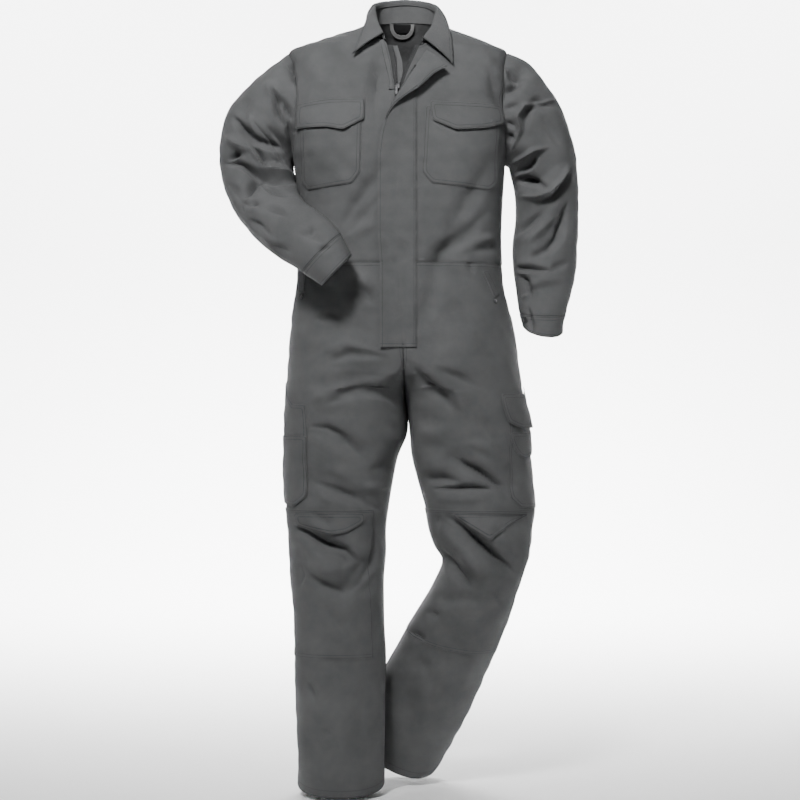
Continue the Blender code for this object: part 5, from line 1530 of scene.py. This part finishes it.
def build_lapel():
    """The placket's top, turned out over the chest: it rises from the fold line in a soft wave."""
    rows = np.linspace(0, len(LAPEL["fold_x"]) - 1, 70)
    fold, edge = (
        np.stack([between(LAPEL[f"{line}_{axis}"], rows) for axis in "xz"], axis=-1)
        for line in ("fold", "edge")
    )
    share = np.linspace(0, 1, 22)
    flat = fold[:, None] + (edge - fold)[:, None] * share[None, :, None]
    place, out = front_surface(flat[..., 0], flat[..., 1])
    grown = np.clip((rows - 1.5) / 5, 0, 1)[:, None]
    rise = LAPEL_RISE * np.sin(share * math.pi * 0.55)
    wave = LAPEL_WAVE * np.sin(share * 7 + rows[:, None] * 1.3)
    height = LAPEL_BASE + grown * (rise + wave) - LAPEL_ROLL * np.clip(1 - share / 0.1, 0, 1)[None] ** 2
    outer = place + out * height[..., None]
    sew_edges("fly", outer, out, (("last", (2.0, 6.5)),), part=slice(20, None))
    cloth("fly_lapel_cloth", outer, outer - out * LAPEL_THICK, nodes=["fly"])


def front_strip(name, inner_x, outer_x, heights, base, thick, look="twill", slot="twill", nodes=()):
    """A narrow strip down the fronts; base is how far its under face stands off their outer face."""
    across = np.linspace(0, 1, 7)
    x = inner_x[:, None] + (outer_x - inner_x)[:, None] * across[None]
    z = np.repeat(heights[:, None], len(across), axis=1)
    place, out = front_surface(x, z)
    outer = place + out * (base + thick)
    cloth(name, outer, place + out * base, look=look, slot=slot, nodes=nodes)
    return outer, out


ZIP_BOTTOM, ZIP_TOP = -556.0, -26.0
ZIP_BEHIND = CLOTH + 1.8  # how far the tapes lie behind the fronts' outer face
TOOTH_PITCH = 2.6
# How far each tape shows past its front's edge, and the guard's two edges, at each height of the V.
SHOWN_TAPE = table("""
z right left
-556 5.7 5.7
-112 5.7 5.7
-88 7 7
-54 11 9
-26 11 9
""")
GUARD = table("""
z right left
-556 -24 6
-112 -24 6
-85 -24 5
-62 -30 5
-26 -34 -5
""")


def build_zip():
    heights = np.concatenate((np.linspace(ZIP_BOTTOM, -130, 60), np.linspace(-126, ZIP_TOP, 30)))
    teeth = []
    for side, edge, sign, start in (("right", RIGHT_EDGE, 1, 0.0), ("left", LEFT_EDGE, -1, TOOTH_PITCH / 2)):
        edge_x = np.interp(heights, edge["z"], edge["x"])
        shown_x = edge_x + np.interp(heights, SHOWN_TAPE["z"], SHOWN_TAPE[side]) * sign
        limits = sorted((edge_x - sign * ZIP_TAPE / 2, shown_x), key=np.sum)
        how = {"look": "tape", "slot": "zip_tape", "nodes": [f"zip_tape_{side}"]}
        front_strip(f"zip_tape_{side}_cloth", *limits, heights, -ZIP_BEHIND - 1, 1, **how)
        tooth_z = np.arange(ZIP_BOTTOM + 4, ZIP_TOP - 3, TOOTH_PITCH) + start
        place, out = front_surface(np.interp(tooth_z, heights, shown_x) - sign * 0.6, tooth_z)
        teeth.append(place - out * (ZIP_BEHIND - 0.3))
    build_teeth(np.concatenate(teeth))
    heights = np.linspace(ZIP_BOTTOM, ZIP_TOP, 80)
    limits = [np.interp(heights, GUARD["z"], GUARD[side]) for side in ("right", "left")]
    front_strip("zip_guard_cloth", *limits, heights, -ZIP_BEHIND - 3.6, 1.2, nodes=["zip_guard"])


def build_teeth(places):
    """Small moulded teeth with sloping sides along both tapes."""
    corners = []
    for y, k in ((0.8, 1.0), (-0.8, 0.6)):
        corners += [(-k, y, -k), (k, y, -k), (k, y, k), (-k, y, k)]
    tooth = np.array(corners) * (1.5, 1.0, 0.8)
    sides = np.array(((0, 1, 2, 3), (7, 6, 5, 4), (0, 4, 5, 1), (1, 5, 6, 2), (2, 6, 7, 3), (3, 7, 4, 0)))
    points = (places[:, None] + tooth[None]).reshape(-1, 3)
    faces = (8 * np.arange(len(places))[:, None, None] + sides[None]).reshape(-1, 4)
    piece("zip_teeth", points, faces, "teeth", slot="zip_metal")


# The raised strip along the right front's edge, beside the open top of the zip.
FACING = table("""
z outer_x inner_x
-118 -22 -11
-110 -22 -12
-96 -23 -14
-70 -29 -17
-40 -36 -24
-24 -39 -29
-16 -41 -33
""")


def build_facing():
    heights = np.linspace(-118, -17, 40)
    limits = [np.interp(heights, FACING["z"], FACING[name]) for name in ("outer_x", "inner_x")]
    outer, out = front_strip("front_facing", *limits, heights, 0.2, 1.4)
    sew_edges("fly", outer, out, (("first", (1.6,)), ("last", (1.6,))))


# Shares of a stud's radius and height, from its middle out.
STUD_PROFILE = (
    (0.0, 0.8), (0.3, 0.85), (0.45, 0.6), (0.6, 0.62), (0.76, 1.0), (0.93, 0.8), (1.0, 0.1), (1.0, -0.1)
)


STUD_SIDES = 32


def stud(name, place, out, radius, height, look="stud", slot="studs", nodes=()):
    """A low turned stud: a sunk middle inside a rolled rim."""
    out = unit(np.asarray(out, float).reshape(3))
    across = unit(np.cross(out, (0.0, 0.0, 1.0)))
    up = np.cross(across, out)
    turns = np.linspace(0, 2 * math.pi, STUD_SIDES, endpoint=False)[:, None]
    ways = across * np.cos(turns) + up * np.sin(turns)
    rings = [place + out * height * rise + ways * radius * max(share, 0.02) for share, rise in STUD_PROFILE]
    faces = list(grid_faces(len(rings), STUD_SIDES, closed=True))
    last = (len(rings) - 1) * STUD_SIDES
    faces += [tuple(range(STUD_SIDES)), tuple(range(last, last + STUD_SIDES))]
    piece(name, np.concatenate(rings), faces, look, nodes=nodes, slot=slot)


SNAP_MARK_RADIUS, SNAP_MARK_HEIGHT = 4.2, 0.9
# Where the flaps' snaps are pressed into the cloth underneath and show as round marks, seen from the front.
SNAP_MARKS = {"right": ((-180, -180), (-95, -170)), "left": ((93, -170), (178, -180))}


def build_studs():
    for side, tube in LEG_TUBES.items():
        place, out = seen_on(tube)(*RIVET[side])
        name = f"rivet_{side}"
        stud(name + "_stud", place + out * 0.2, out, RIVET_RADIUS, RIVET_HEIGHT, nodes=[name])
    for side, tube in SLEEVE_TUBES.items():
        u, share = CUFF_SNAP[side]
        place, out = (value[0] for value in tube.point(np.array([u]), np.array([tube.count - 2 + share])))
        name = f"cuff_snap_{side}"
        stud(name + "_stud", place + out * 0.3, out, CUFF_SNAP_RADIUS, RIVET_HEIGHT, nodes=[name])
    for side, marks in SNAP_MARKS.items():
        lift = opened(*z_range(CHEST_FLAP[side]), FLAP_LIFT)
        for k, (x, z) in enumerate(marks):
            place, out = front_surface(x, z)
            place = place + out * (ON_POCKET + TRIM + lift(x, z) - 0.2)
            stud(f"snap_mark_{side}_{k}", place, out, SNAP_MARK_RADIUS, SNAP_MARK_HEIGHT, "twill", "twill")


def neck_edge():
    """The neck seam on the panels' outer face, from the right front round the back to the left front."""
    places, outs = [], []
    parts = (
        (front_grid("right"), slice(None, None, -1)),
        (back_grid(), slice(1, -1)),
        (front_grid("left"), slice(None)),
    )
    for grid, part in parts:
        u, v = (values[0, part] for values in grid)
        place, out = TORSO_TUBE.point(u, v)
        places.append(place)
        outs.append(out)
    return np.concatenate(places), np.concatenate(outs)


LEAF_TURN = ((-5.4, -9.0), (-5.6, -6.0), (-5.4, -3.0), (-4.8, -0.8), (-3.6, 0.8), (-2.0, 1.5), (-0.8, 1.4))


MIDDLE_OF_NECK = np.array((10.0, 0.0, 0.0))
UP = np.array((0.0, 0.0, 1.0))
STAND_SHORT, STAND_INSIDE = 2.2, 1.2  # how far the stand ends below the fold, and lies inside it
LEAF_BULGE, LEAF_RISE = 3.0, 1.5  # how far the leaf's middle swells out and up


def build_collar():
    base, base_out = neck_edge()
    lengths = lengths_along(base)
    stations = np.interp(lengths / lengths[-1], COLLAR["round"], np.arange(len(COLLAR["round"])))
    roll, edge = (
        np.stack([between(COLLAR[f"{line}_{axis}"], stations) for axis in "xyz"], axis=-1)
        for line in ("roll", "edge")
    )
    away = unit((roll - MIDDLE_OF_NECK) * (1, 1, 0))
    # The stand: a band from the neck seam up to just under the fold.
    top = 1 - STAND_SHORT / np.linalg.norm(roll - base, axis=1)
    shares = np.linspace(0, 1, 9)
    stand = np.stack([base + (roll - base) * (top * f)[:, None] for f in shares], axis=1)
    stand[:, 0] += unit(roll - base) * SEAM_GAP
    lean = np.clip(shares * 2, 0, 1)[None, :, None]
    stand -= away[:, None] * STAND_INSIDE * lean
    inward = -base_out[:, None] * (1 - lean) - away[:, None] * lean
    cloth("collar_stand_cloth", stand, stand + unit(inward) * CLOTH, nodes=["collar_stand"])
    # The leaf: from inside over the fold, then down to its outer edge in a soft bulge.
    lower = [roll + away * back + UP * rise for back, rise in LEAF_TURN]
    for f in np.linspace(0, 1, 26) ** 1.3:
        sag = math.sin(f * math.pi)
        lower.append(roll + (edge - roll) * f + away * sag * LEAF_BULGE + UP * (1 - f + sag * LEAF_RISE))
    lower = np.stack(lower, axis=1)
    out = unit(np.cross(np.gradient(lower, axis=1), np.gradient(lower, axis=0)))
    facing = np.sum(out[:, len(LEAF_TURN) + 5 :] * (away[:, None] + UP * 0.8))
    out = out if facing > 0 else -out
    outer = lower + out * CLOTH
    sew_edges("collar", outer, out, (("last", DOUBLE), ("top", (2.0,)), ("bottom", (2.0,))))
    cloth("collar_cloth", outer, lower, nodes=["collar"])


LOOP_X, LOOP_HALF_WIDTH, LOOP_TOP, LOOP_BOTTOM, LOOP_BAND = 4.0, 26.0, 44.0, 18.0, 7.0


def inside_neck(name, look, x, z, depth, thick):
    """A piece inside the back neck, at places seen from the front and that far below the outer face."""
    v = TORSO_TUBE.v_at(z)
    place, out = TORSO_TUBE.point(-TORSO_TUBE.front_u(x, v), v)
    how = {"nodes": [name], "look": look, "slot": look}
    cloth(name + "_cloth", place - out * depth, place - out * (depth + thick), **how)


def build_neck_pieces():
    """The loop and the plain label inside the back neck."""
    turn, reach = np.linspace(0, math.pi, 61)[:, None], np.linspace(0, LOOP_BAND, 6)
    x = LOOP_X - (LOOP_HALF_WIDTH - reach) * np.cos(turn)
    z = LOOP_TOP - (LOOP_TOP - LOOP_BOTTOM - reach) * np.sin(turn) ** 0.8
    inside_neck("hanger_loop", "loop", x, z, CLOTH + 2.6, 1.0)
    x, z = np.meshgrid(np.linspace(-14, 24, 20), np.linspace(43, 29, 9))
    inside_neck("label", "label", x, z, CLOTH + 0.9, 0.8)


# Each sheet's cut: its width and length in millimetres, and its flat area in square millimetres.
CUTS = """
back_cloth 475 584 262420
cargo_flap_cloth 219 72 13270
cargo_pocket_cloth 226 196 32080
chest_flap_left_cloth 142 56 7520
chest_flap_right_cloth 132 61 7870
chest_pocket_left_cloth 158 161 25080
chest_pocket_right_cloth 129 161 20420
collar_cloth 67 529 29750
collar_stand_cloth 28 470 11990
cuff_left_cloth 272 38 10250
cuff_right_cloth 278 46 12580
fly_cloth 68 556 37010
fly_lapel_cloth 25 220 5170
front_facing 13 110 1330
front_left_cloth 236 525 119470
front_right_cloth 230 546 120720
hanger_loop_cloth 10 101 710
hip_welt_left_cloth 35 54 1070
hip_welt_right_cloth 26 49 1220
knee_flap_left_cloth 146 51 4600
knee_flap_right_cloth 135 42 5530
knee_pocket_left_cloth 262 315 78410
knee_pocket_right_cloth 226 311 68940
label_cloth 38 19 690
phone_flap_cloth 200 53 8920
ruler_pocket_cloth 226 137 29020
ruler_pocket_upper_cloth 216 237 43210
sleeve_left_cloth 446 466 193900
sleeve_right_cloth 450 456 188740
trouser_back_left_cloth 314 1079 317220
trouser_back_right_cloth 309 1075 313660
trouser_front_left_cloth 313 1134 329930
trouser_front_right_cloth 308 1101 318220
zip_guard_cloth 32 533 16730
zip_tape_left_cloth 14 541 7260
zip_tape_right_cloth 14 535 7340
"""


def declare_sheets():
    for line in CUTS.strip().splitlines():
        name, *sizes = line.split()


build_backdrop()
build_lights()
build_camera()
build_torso()
build_sleeves()
build_trousers()
build_chest_pockets()
build_knees()
build_hip_pockets()
build_thigh_pockets()
build_fly()
build_lapel()
build_zip()
build_collar()
build_neck_pieces()
build_facing()
build_studs()
build_stitches()
declare_sheets()
for node in ("zip_slider", "zip_pull"):
    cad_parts[node].data.materials[0] = LOOKS["metal"]
